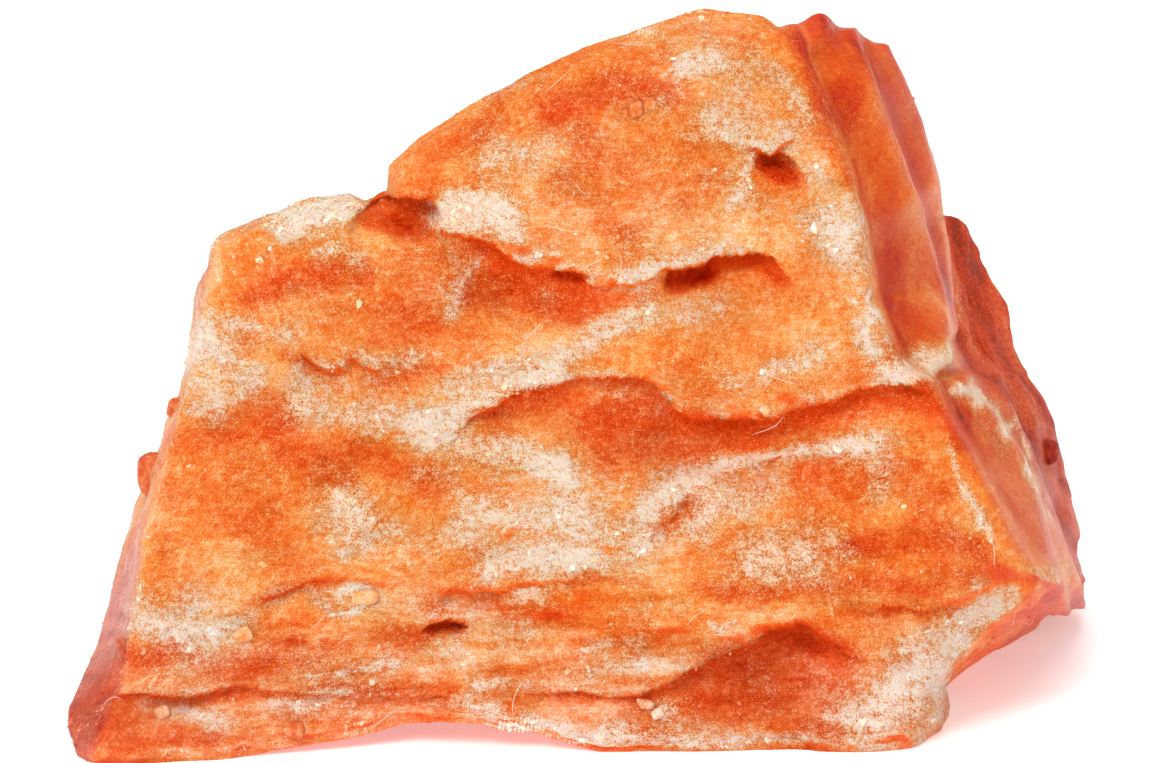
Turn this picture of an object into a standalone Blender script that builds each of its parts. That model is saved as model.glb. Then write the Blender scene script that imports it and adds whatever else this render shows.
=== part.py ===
"""Monazite specimen: one broken, layered stone standing on its own flat underside.

The stone's front is a broad cleavage face that leans back by LEAN.  Its form is laid out
on a sheet that leans the same way, in millimetres:

    across   to the right along the sheet (the world's X)
    up       up the sheet
    out      square to the sheet, towards the front

The body is a loft.  It runs from the middle of the front face out to FRONT_EDGE, back over
the side walls to OUTLINE, the widest line round the stone, on to BACK_EDGE, and closes at
the middle of the back.  Ledges, hollows, swells and ribs are then raised or sunk along
"out", so they keep their place on the sheet.  The underside is cut flat at the floor, and
small crystals and crumbs are fused on last.
"""

import itertools
import math

import bmesh
import bpy
import numpy as np
from mathutils import Euler, Matrix, Vector
from mathutils.bvhtree import BVHTree

MM = 0.001
LEAN = math.radians(15.5)

# Driving lines, each point (across, up, out).
HUB = np.array((0.0, 27.0))
FRONT_MIDDLE_OUT = 0.5
BACK_MIDDLE_OUT = -41.5

FRONT_EDGE = (
    (-37.4, -0.4, 3.2), (-37.7, 1.1, 3.2), (-37.3, 2.6, 2.6), (-36.4, 4.0, 2.0),
    (-35.3, 5.1, 1.0), (-35.2, 7.5, 0.4), (-34.3, 11.8, 0.0), (-34.1, 16.5, 0.0),
    (-32.9, 19.6, 0.0), (-31.8, 24.3, 0.0), (-30.0, 31.3, 0.0), (-29.2, 35.2, -0.2),
    (-28.2, 39.4, -1.2), (-25.8, 40.4, -1.2), (-21.9, 42.2, -1.5), (-18.4, 42.7, -1.6),
    (-17.4, 42.3, -2.5), (-15.3, 42.2, -2.5), (-14.2, 43.0, -1.5), (-14.1, 44.8, -1.0),
    (-12.1, 46.5, -1.0), (-8.6, 49.0, -1.0), (-4.4, 51.7, -1.2), (1.5, 54.0, -1.4),
    (9.3, 56.8, -2.0), (13.9, 56.3, -2.2), (15.9, 55.9, -2.6), (17.2, 53.7, -1.8),
    (18.6, 50.7, -0.8), (20.9, 44.5, 0.2), (21.9, 39.8, 0.5), (22.3, 35.2, 0.8),
    (25.2, 29.6, 0.4), (27.2, 28.9, -0.6), (29.1, 25.4, -0.6), (31.4, 21.2, -0.5),
    (34.7, 15.4, -1.4), (35.9, 13.4, -3.4), (35.2, 11.8, -5.4), (31.8, 9.4, -4.6),
    (29.2, 7.2, -3.0), (27.3, 5.4, -1.0), (26.6, 3.7, 0.4), (25.1, 1.5, 0.6),
    (17.8, 0.5, 1.0), (1.5, 0.5, 1.2),
    (-0.9, 1.3, 0.6), (-3.6, 2.3, 0.2), (-7.9, 2.9, 0.0), (-11.0, 3.1, 0.0),
    (-15.6, 2.3, 0.2), (-21.9, 1.3, 0.8), (-28.1, 0.2, 2.4), (-33.5, -0.4, 3.2),
)
OUTLINE = (
    (-40.0, 3.3, -3.0), (-39.8, 1.9, -1.0), (-38.8, 0.0, 1.0), (-37.8, -0.8, 2.5),
    (-33.5, -0.9, 3.4), (-28.5, -0.8, 2.6), (-25.8, -0.1, 1.5), (-21.9, 0.6, 0.4),
    (-17.2, 1.3, -0.5), (-14.1, 1.9, -0.8), (-11.0, 2.3, -0.8), (-7.9, 2.3, -0.8),
    (-5.9, 1.8, -0.6), (-3.2, 1.7, -0.4), (-1.5, 0.9, -0.1), (1.5, -0.1, 0.4),
    (9.3, -0.2, 0.6), (17.8, -0.4, 0.4), (23.3, 0.0, -0.4), (26.1, 0.5, -1.6),
    (27.7, 1.8, -5.0), (28.6, 3.7, -10.0), (28.3, 5.1, -13.0), (30.7, 6.8, -16.0),
    (34.2, 9.3, -16.5), (36.5, 10.7, -19.5), (39.0, 11.2, -34.0), (39.6, 12.0, -35.0),
    (40.1, 13.0, -33.0), (39.4, 14.6, -31.5), (39.3, 16.5, -31.0), (38.4, 19.8, -30.0),
    (37.0, 25.4, -29.5), (34.9, 30.3, -29.5), (33.1, 35.2, -30.0), (31.4, 38.3, -30.5),
    (30.4, 40.8, -29.5), (29.5, 41.9, -27.8), (28.2, 41.9, -23.5), (28.0, 43.0, -22.5),
    (28.2, 44.5, -22.0), (27.5, 46.8, -21.5), (26.4, 49.4, -20.5), (25.2, 53.1, -18.5),
    (23.9, 54.9, -16.5), (20.9, 56.2, -12.0), (19.5, 57.2, -9.5), (18.0, 57.3, -8.5),
    (16.3, 56.6, -7.0), (15.3, 56.3, -5.5), (14.1, 57.2, -4.5), (9.4, 57.7, -4.0),
    (5.4, 56.5, -3.6), (1.5, 55.1, -3.4), (-4.7, 52.4, -3.2), (-8.6, 50.0, -3.0),
    (-12.5, 47.5, -3.0), (-14.9, 45.4, -3.0), (-14.8, 43.7, -4.0), (-15.2, 42.8, -5.0),
    (-17.0, 42.8, -5.0), (-17.5, 43.4, -4.0), (-21.1, 43.1, -4.0), (-25.4, 41.1, -5.0),
    (-27.9, 39.9, -6.0), (-28.6, 38.9, -8.0), (-29.3, 36.3, -12.0), (-30.7, 30.1, -15.0),
    (-32.7, 23.9, -16.0), (-33.9, 20.4, -16.0), (-35.3, 16.5, -15.0), (-36.7, 12.2, -13.0),
    (-37.7, 8.7, -10.0), (-39.0, 5.6, -6.0),
)
BACK_EDGE = (
    (-31.1, 8.0, -37.0), (-31.6, 14.9, -36.0), (-30.8, 19.6, -35.0), (-29.3, 25.8, -32.0),
    (-27.7, 32.1, -27.0), (-25.4, 36.0, -22.0), (-19.5, 38.7, -21.0), (-14.1, 40.2, -22.0),
    (-10.2, 44.5, -23.0), (-1.6, 48.4, -25.0), (7.7, 50.7, -27.0), (16.3, 51.5, -28.0),
    (22.5, 50.0, -30.0), (26.0, 45.3, -32.0), (26.8, 40.6, -34.0), (29.5, 35.2, -36.0),
    (32.6, 27.4, -38.0), (35.7, 19.6, -39.5), (37.0, 11.5, -41.0), (32.6, 8.0, -42.0),
    (17.0, 7.6, -42.0), (1.5, 7.6, -42.0), (-14.1, 7.8, -41.0), (-25.8, 7.8, -39.0),
)

# Where each line lies on the way from the middle of the front (0) to that of the back (1).
FRONT_AT = 0.60
RIM_AT = 0.76
BACK_AT = 0.90
FLATNESS = 9.0
BACK_FLATNESS = 2.5
ROUNDING = 0.008
RIM_SPARE = 0.22
TURN_STEPS = 1440

# Ledges: how far below its lip each recess heals, then the lip as (across, up, depth).
LEDGES = {
    "crown": (4.5, (
        (-11.6, 40.2, 0.0), (-10.7, 40.2, 0.8), (-8.0, 39.9, 1.9), (-6.3, 38.9, 1.8), (-5.1, 38.1, 1.5),
        (-3.8, 37.6, 1.2), (-2.4, 37.8, 1.6), (-0.5, 37.4, 2.2), (0.5, 36.4, 1.6), (1.5, 36.1, 0.9),
        (5.0, 36.8, 0.8), (6.5, 37.4, 1.2), (8.5, 37.7, 2.2), (9.9, 37.9, 3.0), (11.4, 38.4, 3.4),
        (13.3, 38.6, 3.4), (14.9, 38.4, 2.8), (15.6, 37.7, 1.8), (16.3, 36.7, 0.8), (17.0, 36.3, 0.0),
    )),
    "tooth": (2.4, (
        (9.4, 46.7, 0.0), (10.4, 47.0, 0.3), (12.2, 46.8, 0.4), (13.4, 47.2, 1.0), (14.1, 46.8, 1.3),
        (14.8, 46.5, 1.4), (15.3, 46.9, 1.4), (16.1, 47.5, 1.0), (17.0, 48.1, 0.6), (17.5, 48.6, 0.0),
    )),
    "left plate": (2.6, (
        (-22.5, 31.8, 0.0), (-21.6, 30.8, 1.0), (-20.8, 30.1, 1.4), (-19.8, 29.6, 1.4),
        (-18.3, 29.8, 1.2), (-17.5, 30.7, 1.1), (-16.9, 29.9, 1.2), (-16.3, 29.7, 1.0),
        (-14.1, 30.3, 0.9), (-12.5, 30.7, 0.7), (-10.5, 30.7, 0.0),
    )),
    "middle": (5.5, (
        (-12.6, 23.2, 0.0), (-10.8, 24.2, 0.3), (-9.4, 24.8, 0.6), (-7.9, 26.2, 0.9), (-6.1, 27.5, 1.3),
        (-5.1, 28.0, 1.5), (-3.2, 28.4, 1.6), (0.3, 29.0, 1.8), (2.4, 29.1, 1.9), (4.6, 28.9, 2.0),
        (5.6, 28.4, 2.2), (6.6, 27.3, 2.5), (7.6, 26.4, 2.8), (9.4, 25.8, 3.0), (11.6, 25.7, 3.1),
        (14.1, 25.8, 2.9), (17.0, 26.5, 2.5), (19.5, 27.1, 2.2), (21.6, 27.9, 2.1), (25.0, 28.5, 1.8),
        (26.8, 28.1, 0.9), (28.4, 28.4, 0.0),
    )),
    "pale flap": (2.5, (
        (3.5, 16.3, 0.0), (4.6, 16.8, 0.4), (5.8, 17.4, 0.6), (6.8, 18.2, 0.8), (7.7, 19.5, 0.9),
        (8.6, 19.7, 0.6), (10.2, 19.8, 0.0),
    )),
    "long flap": (2.2, (
        (7.0, 20.2, 0.0), (8.6, 20.7, 0.5), (11.8, 21.5, 0.8), (14.7, 22.3, 0.9), (18.0, 23.0, 0.7),
        (21.6, 23.5, 0.4), (23.4, 23.6, 0.0),
    )),
    "flat lip": (1.8, (
        (-8.6, 12.5, 0.0), (-7.7, 12.5, 0.7), (-4.6, 12.8, 0.5), (-1.5, 13.2, 0.7), (-0.1, 13.4, 0.7),
        (1.9, 13.4, 0.5), (3.3, 13.2, 0.0),
    )),
    "left crack": (1.5, (
        (-26.8, 11.5, 0.0), (-24.8, 12.0, 0.5), (-23.1, 12.6, 0.8), (-21.7, 13.2, 0.9),
        (-19.1, 13.5, 0.9), (-17.2, 13.4, 0.7), (-15.3, 12.9, 0.3), (-14.1, 12.6, 0.0),
    )),
    "left sole": (3.2, (
        (-37.6, 4.9, 0.0), (-35.9, 4.6, 1.2), (-33.4, 4.2, 2.0), (-31.2, 4.2, 2.2), (-28.7, 4.7, 2.0),
        (-26.4, 5.1, 1.6), (-21.7, 4.8, 1.0), (-18.0, 4.7, 1.2), (-15.6, 4.4, 1.6), (-13.3, 4.1, 1.6),
        (-11.0, 4.3, 1.0), (-8.6, 4.0, 0.4), (-7.5, 4.0, 0.0),
    )),
    "slab": (6.5, (
        (-8.6, 4.6, 0.0), (-5.8, 4.7, 0.6), (-2.6, 4.4, 1.2), (2.3, 4.5, 1.6), (4.4, 4.4, 2.0),
        (5.8, 4.9, 2.0), (7.2, 5.3, 2.3), (8.3, 6.2, 2.6), (9.7, 6.8, 2.8), (11.8, 7.8, 3.2),
        (13.8, 8.6, 3.8), (15.6, 9.3, 4.2), (16.9, 9.5, 4.3), (17.8, 9.3, 4.0), (18.3, 8.5, 2.8),
        (19.5, 8.0, 1.8), (20.9, 7.5, 0.9), (23.3, 6.8, 0.0),
    )),
    "right sole": (2.2, (
        (8.5, 10.1, 0.0), (10.2, 10.7, 0.4), (12.5, 11.3, 0.6), (15.2, 11.8, 0.6), (19.7, 11.6, 0.7),
        (21.9, 11.2, 1.1), (24.2, 11.2, 1.3), (26.8, 11.2, 0.9), (29.0, 11.6, 0.0),
    )),
    "block foot": (3.0, (
        (26.8, 11.2, 0.0), (28.4, 11.5, 0.5), (30.4, 12.2, 0.9), (32.5, 13.0, 1.1), (34.5, 13.7, 1.0),
        (36.2, 13.8, 0.6), (37.6, 13.0, 0.0),
    )),
    "lump lip": (1.2, (
        (2.4, 3.6, 0.0), (3.6, 3.5, 0.4), (4.6, 3.3, 0.6), (5.4, 3.4, 0.4), (6.6, 3.7, 0.4),
        (8.6, 3.9, 0.0),
    )),
    "pale step": (2.0, (
        (4.6, 19.8, 0.0), (6.3, 20.2, 0.4), (9.3, 20.6, 0.4), (12.4, 21.3, 0.4), (14.7, 22.2, 0.4),
        (17.0, 22.7, 0.3), (19.4, 23.0, 0.0),
    )),
    "foot band": (1.2, (
        (-30.0, 1.6, 0.0), (-26.5, 1.8, 0.5), (-23.8, 2.5, 0.5), (-18.4, 3.1, 0.4), (-15.6, 3.0, 0.5),
        (-11.8, 3.1, 0.3), (-8.6, 3.0, 0.0),
    )),
}
LIP_EDGE = 0.5
LIP_ROUND = 0.8
LIP_ROLL = 0.25
UNDERCUT = 0.35

# Every lip wavers about its line: how far apart the waves are, and their height.
WAVER_ACROSS = ((1.7, 0.35),)
WAVER_UP = ((2.1, 0.30), (0.8, 0.12))

# Steps on the right-hand walls, where what lies further right is deeper: (across, up, depth).
STEPS = {
    "rear": (7.0, (
        (28.4, 43.2, 0.0), (28.2, 41.8, 3.5), (28.1, 38.5, 6.0), (28.4, 34.6, 6.5), (28.7, 31.3, 5.0),
        (28.9, 29.2, 2.5), (29.2, 27.2, 0.0),
    )),
    "side rib": (3.5, (
        (28.7, 28.6, 0.0), (29.6, 27.7, 1.6), (31.4, 26.5, 2.6), (32.8, 24.9, 3.0), (34.3, 22.3, 3.0),
        (35.6, 19.6, 2.6), (36.2, 17.3, 1.8), (36.5, 14.9, 0.8), (36.7, 13.4, 0.0),
    )),
}

# Hollows, steep under their upper rim: across, up, half length, half height, tilt, depth.
HOLLOWS = {
    "notch": (-14.1, 41.2, 3.7, 2.0, -4.0, 3.2),
    "notch corner": (-16.4, 40.5, 1.6, 1.6, 20.0, 0.9),
    "cave mouth": (8.6, 36.6, 2.0, 1.0, 14.0, 3.8),
    "cave": (12.2, 37.5, 3.6, 1.0, 6.0, 2.4),
    "under crown": (-0.7, 36.8, 1.6, 0.6, -6.0, 2.0),
    "tooth hollow": (15.3, 45.4, 1.9, 1.0, -8.0, 1.5),
    "sole pit": (-10.6, 9.5, 1.8, 0.6, 0.0, 1.3),
    "plum dent": (-8.6, 11.5, 2.8, 1.1, 0.0, 0.6),
}

# Swells, soft mounds and dips: across, up, half length, half height, tilt, height.
SWELLS = {
    "crown belly": (1.5, 44.5, 11.7, 6.2, 15.0, 1.6),
    "crown brow": (9.3, 51.5, 7.0, 3.9, 0.0, 0.5),
    "shoulder belly": (-24.2, 35.2, 7.0, 4.7, 0.0, 0.8),
    "scoop": (-5.9, 35.2, 5.2, 2.8, -5.0, -2.2),
    "cave apron": (12.8, 34.8, 5.8, 1.9, 0.0, -0.9),
    "bulge": (12.8, 29.3, 10.1, 3.1, 0.0, 1.6),
    "under bulge": (12.0, 23.8, 9.4, 2.3, 0.0, -1.1),
    "wing": (5.6, 24.4, 3.6, 2.6, 0.0, -0.8),
    "left belly": (-22.6, 19.6, 11.7, 6.2, 0.0, 1.2),
    "right belly": (24.0, 18.1, 7.8, 4.7, 0.0, 1.1),
    "middle dip": (-1.6, 8.7, 11.7, 2.8, 0.0, -0.8),
    "hollow floor": (15.1, 4.8, 6.2, 3.6, 20.0, -1.8),
    "right lump": (23.3, 4.0, 4.7, 2.6, 0.0, 0.8),
    "front lump": (5.4, 2.3, 8.6, 1.9, 0.0, 0.9),
    "foot lump": (-33.5, 0.8, 4.7, 1.7, 0.0, 1.0),
    "pale shelf": (-1.6, 18.1, 8.6, 3.1, 0.0, 0.6),
    "left step": (-19.5, 27.4, 9.3, 1.9, 5.0, -0.8),
    "valley": (-7.9, 24.3, 4.7, 1.7, 0.0, -0.6),
}

# Ribs run down the right-hand walls, beside this line of (up, across).
WALL_FOOT = ((13.9, 35.6), (21.2, 31.4), (28.9, 27.2), (29.6, 25.2), (35.2, 22.3),
             (39.8, 21.9), (44.5, 20.9), (50.7, 18.6), (57.0, 15.6))
RIB_PITCH = 1.5
RIB_LENGTH = 16.0
RIB_HEIGHT = 0.45
RIB_START = (0.4, 1.6)
WALL_CALM = 0.6

# Folds stand out from the walls, or are sunk in them: half width, height, (up, across) line.
FOLDS = {
    "crest fold": (0.8, 1.2, ((30.5, 27.2), (36.0, 26.8), (42.2, 25.2), (49.2, 22.5), (55.4, 20.8))),
    "crest valley": (0.9, -0.9, ((31.0, 25.6), (34.5, 24.7), (41.5, 23.4), (48.0, 21.3), (54.5, 18.6))),
    "crest rim": (0.7, 0.8, ((33.0, 28.3), (38.3, 28.1), (43.7, 27.5), (49.2, 26.0), (54.5, 23.7))),
    "pale rib": (0.7, 1.0, ((11.0, 37.4), (14.6, 36.1), (18.8, 34.8), (23.1, 33.4), (28.6, 29.3))),
    "block valley": (0.6, -0.7, ((14.0, 35.4), (16.1, 34.3), (20.4, 32.6), (24.3, 30.7), (28.6, 28.3))),
    "outer rib": (0.6, 0.7, ((11.2, 39.2), (14.9, 37.7), (18.8, 36.3), (23.1, 34.9), (28.4, 32.0))),
}
FOLD_END = 1.5

# Lumps beyond this line of (up, across), where the walls turn to the rear.
REAR_LINE = ((11.8, 39.0), (14.9, 38.2), (18.1, 36.7), (21.9, 35.4), (26.6, 33.1), (28.5, 30.8),
             (31.7, 28.6), (41.8, 28.1))
REAR_LUMPS = ((5.3, 0.5), (2.9, 0.35), (1.3, 0.15))

# Lumpy roughness of the whole surface: size along and across the layers, and height.
LUMPS = ((7.0, 3.8, 0.36), (2.6, 1.5, 0.18))

# Broken layers show as terraces that stand out from CORE, round the back and the sides.
CORE = np.array((HUB[0], HUB[1], -20.0))
LAYER = 7.5
LAYER_DIP = 0.12
LAYER_WAVES = (14.0, 2.2)
LAYER_DEPTH = (1.5, 1.1)
LAYER_BROW = (0.82, 0.92)
BACK_LUMPS = ((13.0, 1.6), (5.0, 0.8), (2.2, 0.3))
BACK_START = (RIM_AT, BACK_AT)
SIDE_START = (FRONT_AT, FRONT_AT + 0.05)
SIDE_CALM = 0.6

# Small crystals and flakes that stand on the surface: where a line towards the stone starts
# (across, up, out), the way it goes, then the block's length, height, thickness and turn.
TO_BACK = (0.0, 0.0, -1.0)
TO_RIGHT = (1.0, 0.0, 0.0)
TO_LEFT = (-1.0, 0.0, 0.0)
CRUMBS = {
    "left stub": ((-60.0, 21.9, -9.0), TO_RIGHT, 1.9, 3.0, 2.4, 8.0),
    "left nub": ((-60.0, 27.0, -8.0), TO_RIGHT, 1.2, 1.8, 1.8, -10.0),
    "right nub": ((60.0, 23.5, -27.0), TO_LEFT, 1.4, 2.0, 2.8, 12.0),
    "crown flake": ((4.2, 49.7, 30.0), TO_BACK, 1.0, 1.3, 0.9, 10.0),
    "crown chip": ((5.5, 50.0, 30.0), TO_BACK, 0.9, 0.8, 0.8, -25.0),
    "foot flake": ((-36.0, 8.3, 30.0), TO_BACK, 1.0, 2.2, 1.0, 6.0),
    "sole crumb": ((-32.9, 3.4, 30.0), TO_BACK, 1.3, 1.1, 1.6, 20.0),
    "sole chip": ((-22.4, 2.1, 30.0), TO_BACK, 1.6, 1.3, 1.4, -15.0),
    "crack flake": ((-16.8, 12.4, 30.0), TO_BACK, 2.0, 1.0, 1.0, 4.0),
    "facet": ((-26.5, 9.4, 30.0), TO_BACK, 1.3, 1.0, 0.8, 30.0),
    "bulge chip": ((14.3, 26.2, 30.0), TO_BACK, 0.9, 0.8, 0.9, 45.0),
    "left prong": ((3.7, 3.6, 30.0), TO_BACK, 0.7, 1.3, 1.6, -8.0),
    "right prong": ((5.0, 3.4, 30.0), TO_BACK, 0.7, 1.1, 1.5, 10.0),
}
CRUMB_SUNK = 0.12
CRUMB_WEAR = 0.18
GROUND_SIDE = 200.0

# Fineness of the carved stone, and the share of its faces that are kept.
ROUND_STEPS = 440
LENGTH_STEPS = 218
KEPT_FACES = 0.047

NOISE_STEPS = np.array((374761393, 668265263, 2246822519), dtype=np.int64)
NOISE_MASK = 0xFFFFFFFF


def ramp(value, low, high):
    """Smooth step: 0 below low, 1 above high, with no kink between."""
    part = np.clip((value - low) / (high - low), 0.0, 1.0)
    return part * part * (3.0 - 2.0 * part)


def lattice(cells, seed):
    """A repeatable number from -1 to 1 for every corner of a cubic grid."""
    key = (cells * NOISE_STEPS).sum(axis=-1) + seed * 97531
    key = ((key ^ (key >> 13)) & NOISE_MASK) * 1274126177
    key = (key ^ (key >> 16)) & 0xFFFF
    return key / 32767.5 - 1.0


def noise(points, size, seed):
    """Smooth noise from -1 to 1 whose swells are about `size` apart."""
    scaled = points / np.asarray(size)
    cell = np.floor(scaled).astype(np.int64)
    part = scaled - cell
    part = part * part * (3.0 - 2.0 * part)
    total = np.zeros(len(points))
    for corner in itertools.product((0, 1), repeat=3):
        share = np.where(np.array(corner) == 1, part, 1.0 - part).prod(axis=-1)
        total += share * lattice(cell + np.array(corner), seed)
    return total


def ring_table(ring, turns, splits=12):
    """A closed line's reach from the hub and its out, for each turn about the hub."""
    corners = np.array(ring)
    following = np.roll(corners, -1, axis=0)
    shares = (np.arange(splits) / splits)[:, None]
    run = (corners[:, None] * (1.0 - shares) + following[:, None] * shares).reshape(-1, 3)
    side = run[:, :2] - HUB
    angles = np.arctan2(side[:, 1], side[:, 0])
    order = np.argsort(angles)
    reach = np.interp(turns, angles[order], np.hypot(*side.T)[order], period=2.0 * math.pi)
    out = np.interp(turns, angles[order], run[order, 2], period=2.0 * math.pi)
    return np.stack((reach, out), axis=1)


def loft(turns, along):
    """The plain lofted body: straight runs from the front's middle, line by line, to the back's."""
    table_turns = np.linspace(-math.pi, math.pi, TURN_STEPS, endpoint=False)
    knots = np.array((0.0, FRONT_AT, RIM_AT, BACK_AT, 1.0))
    front, rim, back = (ring_table(ring, table_turns) for ring in (FRONT_EDGE, OUTLINE, BACK_EDGE))
    rim += (RIM_SPARE, 0.0)
    start = np.tile((0.0, FRONT_MIDDLE_OUT), (TURN_STEPS, 1))
    end = np.tile((0.0, BACK_MIDDLE_OUT), (TURN_STEPS, 1))
    lines = np.stack((start, front, rim, back, end))
    place = (turns + math.pi) / (2.0 * math.pi) * TURN_STEPS
    low = np.floor(place).astype(int)
    part = (place - low)[:, None]
    section = np.clip(np.searchsorted(knots, along, side="right") - 1, 0, len(knots) - 2)
    share = ((along - knots[section]) / (knots[section + 1] - knots[section]))[:, None]
    out_share = np.where(section[:, None] == 0, share ** FLATNESS, share)
    behind = section[:, None] == len(knots) - 2
    out_share = np.where(behind, 1.0 - np.clip(1.0 - share, 0.0, None) ** BACK_FLATNESS, out_share)
    share = np.concatenate((share, out_share), axis=1)
    here, there = (lines[line, low % TURN_STEPS] * (1.0 - part)
                   + lines[line, (low + 1) % TURN_STEPS] * part for line in (section, section + 1))
    reach, out = (here * (1.0 - share) + there * share).T
    return np.stack((HUB[0] + reach * np.cos(turns), HUB[1] + reach * np.sin(turns), out), axis=1)


def rounded_loft(turns, along):
    """The loft with its edges eased: the mean of near points of the plain one."""
    return (2.0 * loft(turns, along) + loft(turns, along - ROUNDING)
            + loft(turns, along + ROUNDING)) / 4.0


def ledge(across, up, heal, lip):
    """How deep a ledge sinks each place, and how far its recess is driven up behind the lip."""
    run, height, depth = np.array(lip).T
    under = np.interp(across, run, height) - up
    reach = heal * (0.25 + 0.75 * np.interp(across, run, depth) / depth.max())
    depth = np.interp(across, run, depth, left=0.0, right=0.0)
    recess = ramp(under, 0.0, LIP_EDGE) * np.exp(-np.clip(under, 0.0, None) / reach)
    roll = LIP_ROLL * np.exp(-np.clip(-under, 0.0, None) / LIP_ROUND) * (under < 0.0)
    return np.stack((depth * np.maximum(recess, roll), UNDERCUT * depth * recess))


def wall_step(across, up, heal, edge):
    """How deep a step sinks the wall to the right of its edge, healing further right."""
    run, height, depth = np.array(edge)[::-1].T
    beyond = across - np.interp(up, height, run)
    depth = np.interp(up, height, depth, left=0.0, right=0.0)
    return depth * ramp(beyond, 0.0, LIP_EDGE) * np.exp(-np.clip(beyond, 0.0, None) / heal)


def spot(across, up, shape):
    """Place within a tilted oval: 0 at its middle, 1 at its rim, and how high in it."""
    middle_across, middle_up, half_length, half_height, tilt, _ = shape
    turn = math.radians(tilt)
    right = across - middle_across
    rise = up - middle_up
    length = (right * math.cos(turn) + rise * math.sin(turn)) / half_length
    height = (rise * math.cos(turn) - right * math.sin(turn)) / half_height
    return np.hypot(length, height), height


def hollow(across, up, shape):
    """How deep a bowl sinks each place: a steep upper rim and a shallow lower side."""
    distance, height = spot(across, up, shape)
    width = np.where(height > 0.0, 0.3, 0.7)
    depth = shape[-1] * ramp(1.0 - distance, 0.0, width)
    return np.stack((depth, UNDERCUT * depth))


def swell(across, up, shape):
    """A soft bell-shaped mound, or a dip where its height is negative."""
    distance, _ = spot(across, up, shape)
    return shape[-1] * np.exp(-distance * distance)


def beside(points, line):
    """How far each point lies to the right of a line of (up, across)."""
    return points[:, 0] - np.interp(points[:, 1], *np.array(line).T)


def fold(points, half_width, height, line):
    """Height times a bell curve of the distance beside the line, let down at both its ends."""
    aside = beside(points, line) / half_width
    low, high = line[0][0], line[-1][0]
    inside = ramp(points[:, 1], low - FOLD_END, low) * (1.0 - ramp(points[:, 1], high, high + FOLD_END))
    return height * np.exp(-aside * aside) * inside


def wall_forms(points):
    """Ribs (noise stretched along the wall), folds and rear lumps, and how calm the rest is."""
    aside = beside(points, WALL_FOOT)
    lengthwise = np.stack((aside, points[:, 1], 0.0 * aside), axis=1)
    started = ramp(aside, *RIB_START)
    ribs = RIB_HEIGHT * noise(lengthwise, (RIB_PITCH, RIB_LENGTH, 1.0), 21) * started
    folds = sum(fold(points, *shape) for shape in FOLDS.values())
    rear = waves(points, REAR_LUMPS, 25) * ramp(beside(points, REAR_LINE), 0.0, 1.0)
    return ribs + folds + rear, 1.0 - WALL_CALM * started


def lumps(points):
    """Uneven roughness in two sizes, flattened along the layers."""
    return sum(height * noise(points, (length, width, length), 31 + order)
               for order, (length, width, height) in enumerate(LUMPS))


def waves(points, sizes, seed):
    """Smooth noise in several sizes, each a (distance apart, height)."""
    return sum(height * noise(points, apart, seed + order)
               for order, (apart, height) in enumerate(sizes))


def front_forms(points, side):
    """How far each point sinks, slides up behind its lip, and rises."""
    flat = points * (1.0, 1.0, 0.0)
    across = points[:, 0] + waves(flat, WAVER_ACROSS, 11)
    up = points[:, 1] + waves(flat, WAVER_UP, 12)
    sink, lift = sum(ledge(across, up, heal, lip) for heal, lip in LEDGES.values())
    sink, lift = (sink, lift) + sum(hollow(across, up, shape) for shape in HOLLOWS.values())
    sink += sum(wall_step(across, up, heal, edge) for heal, edge in STEPS.values())
    rise = sum(swell(across, up, shape) for shape in SWELLS.values())
    walls, calm = wall_forms(points)
    calm *= 1.0 - SIDE_CALM * side
    rise += walls + lumps(points) * calm
    return sink, lift, rise


def terraces(points):
    """How far broken layers stand out from the back and sides: sloping, stepped ledges."""
    layer = (points[:, 1] + LAYER_DIP * points[:, 0] + waves(points, (LAYER_WAVES,), 41)) / LAYER
    part = layer - np.floor(layer)
    cell = np.stack((np.floor(layer), 0.0 * part, 0.0 * part), axis=1).astype(np.int64)
    usual, more = LAYER_DEPTH
    lip = (usual + more * lattice(cell, 42)) * (1.0 - ramp(part, *LAYER_BROW)) * part
    return lip + waves(points, BACK_LUMPS, 43)


def rising_way(points, side):
    """The way that relief rises: straight out in front, and away from the core elsewhere."""
    away = points - CORE
    away /= np.linalg.norm(away, axis=1, keepdims=True)
    way = away * side[:, None] + (0.0, 0.0, 1.0) * (1.0 - side)[:, None]
    return way / np.linalg.norm(way, axis=1, keepdims=True)


def stone_points(turns, along):
    """The stone's surface on the sheet for each turn about the hub and way from the front."""
    points = rounded_loft(turns, along)
    behind = ramp(along, *BACK_START)
    side = ramp(along, *SIDE_START)
    sink, lift, rise = front_forms(points, side)
    height = rise * (1.0 - behind) + terraces(points) * behind
    moved = np.stack((0.0 * lift, lift, -sink), axis=1) * (1.0 - behind)[:, None]
    return points + moved + rising_way(points, side) * height[:, None]


def to_world(points):
    """From the sheet's millimetres to the world's, +Z up."""
    across, up, out = points.T
    back = up * math.sin(LEAN) - out * math.cos(LEAN)
    height = up * math.cos(LEAN) + out * math.sin(LEAN)
    return np.stack((across, back, height), axis=1)


def add_object(name, mesh):
    """Link a new object that holds the mesh."""
    thing = bpy.data.objects.new(name, mesh)
    bpy.context.scene.collection.objects.link(thing)
    return thing


def as_tool(thing):
    """Show an object as wire only: it shapes the stone and isn't part of it."""
    thing.hide_render = True
    thing.display_type = "WIRE"
    return thing


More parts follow.
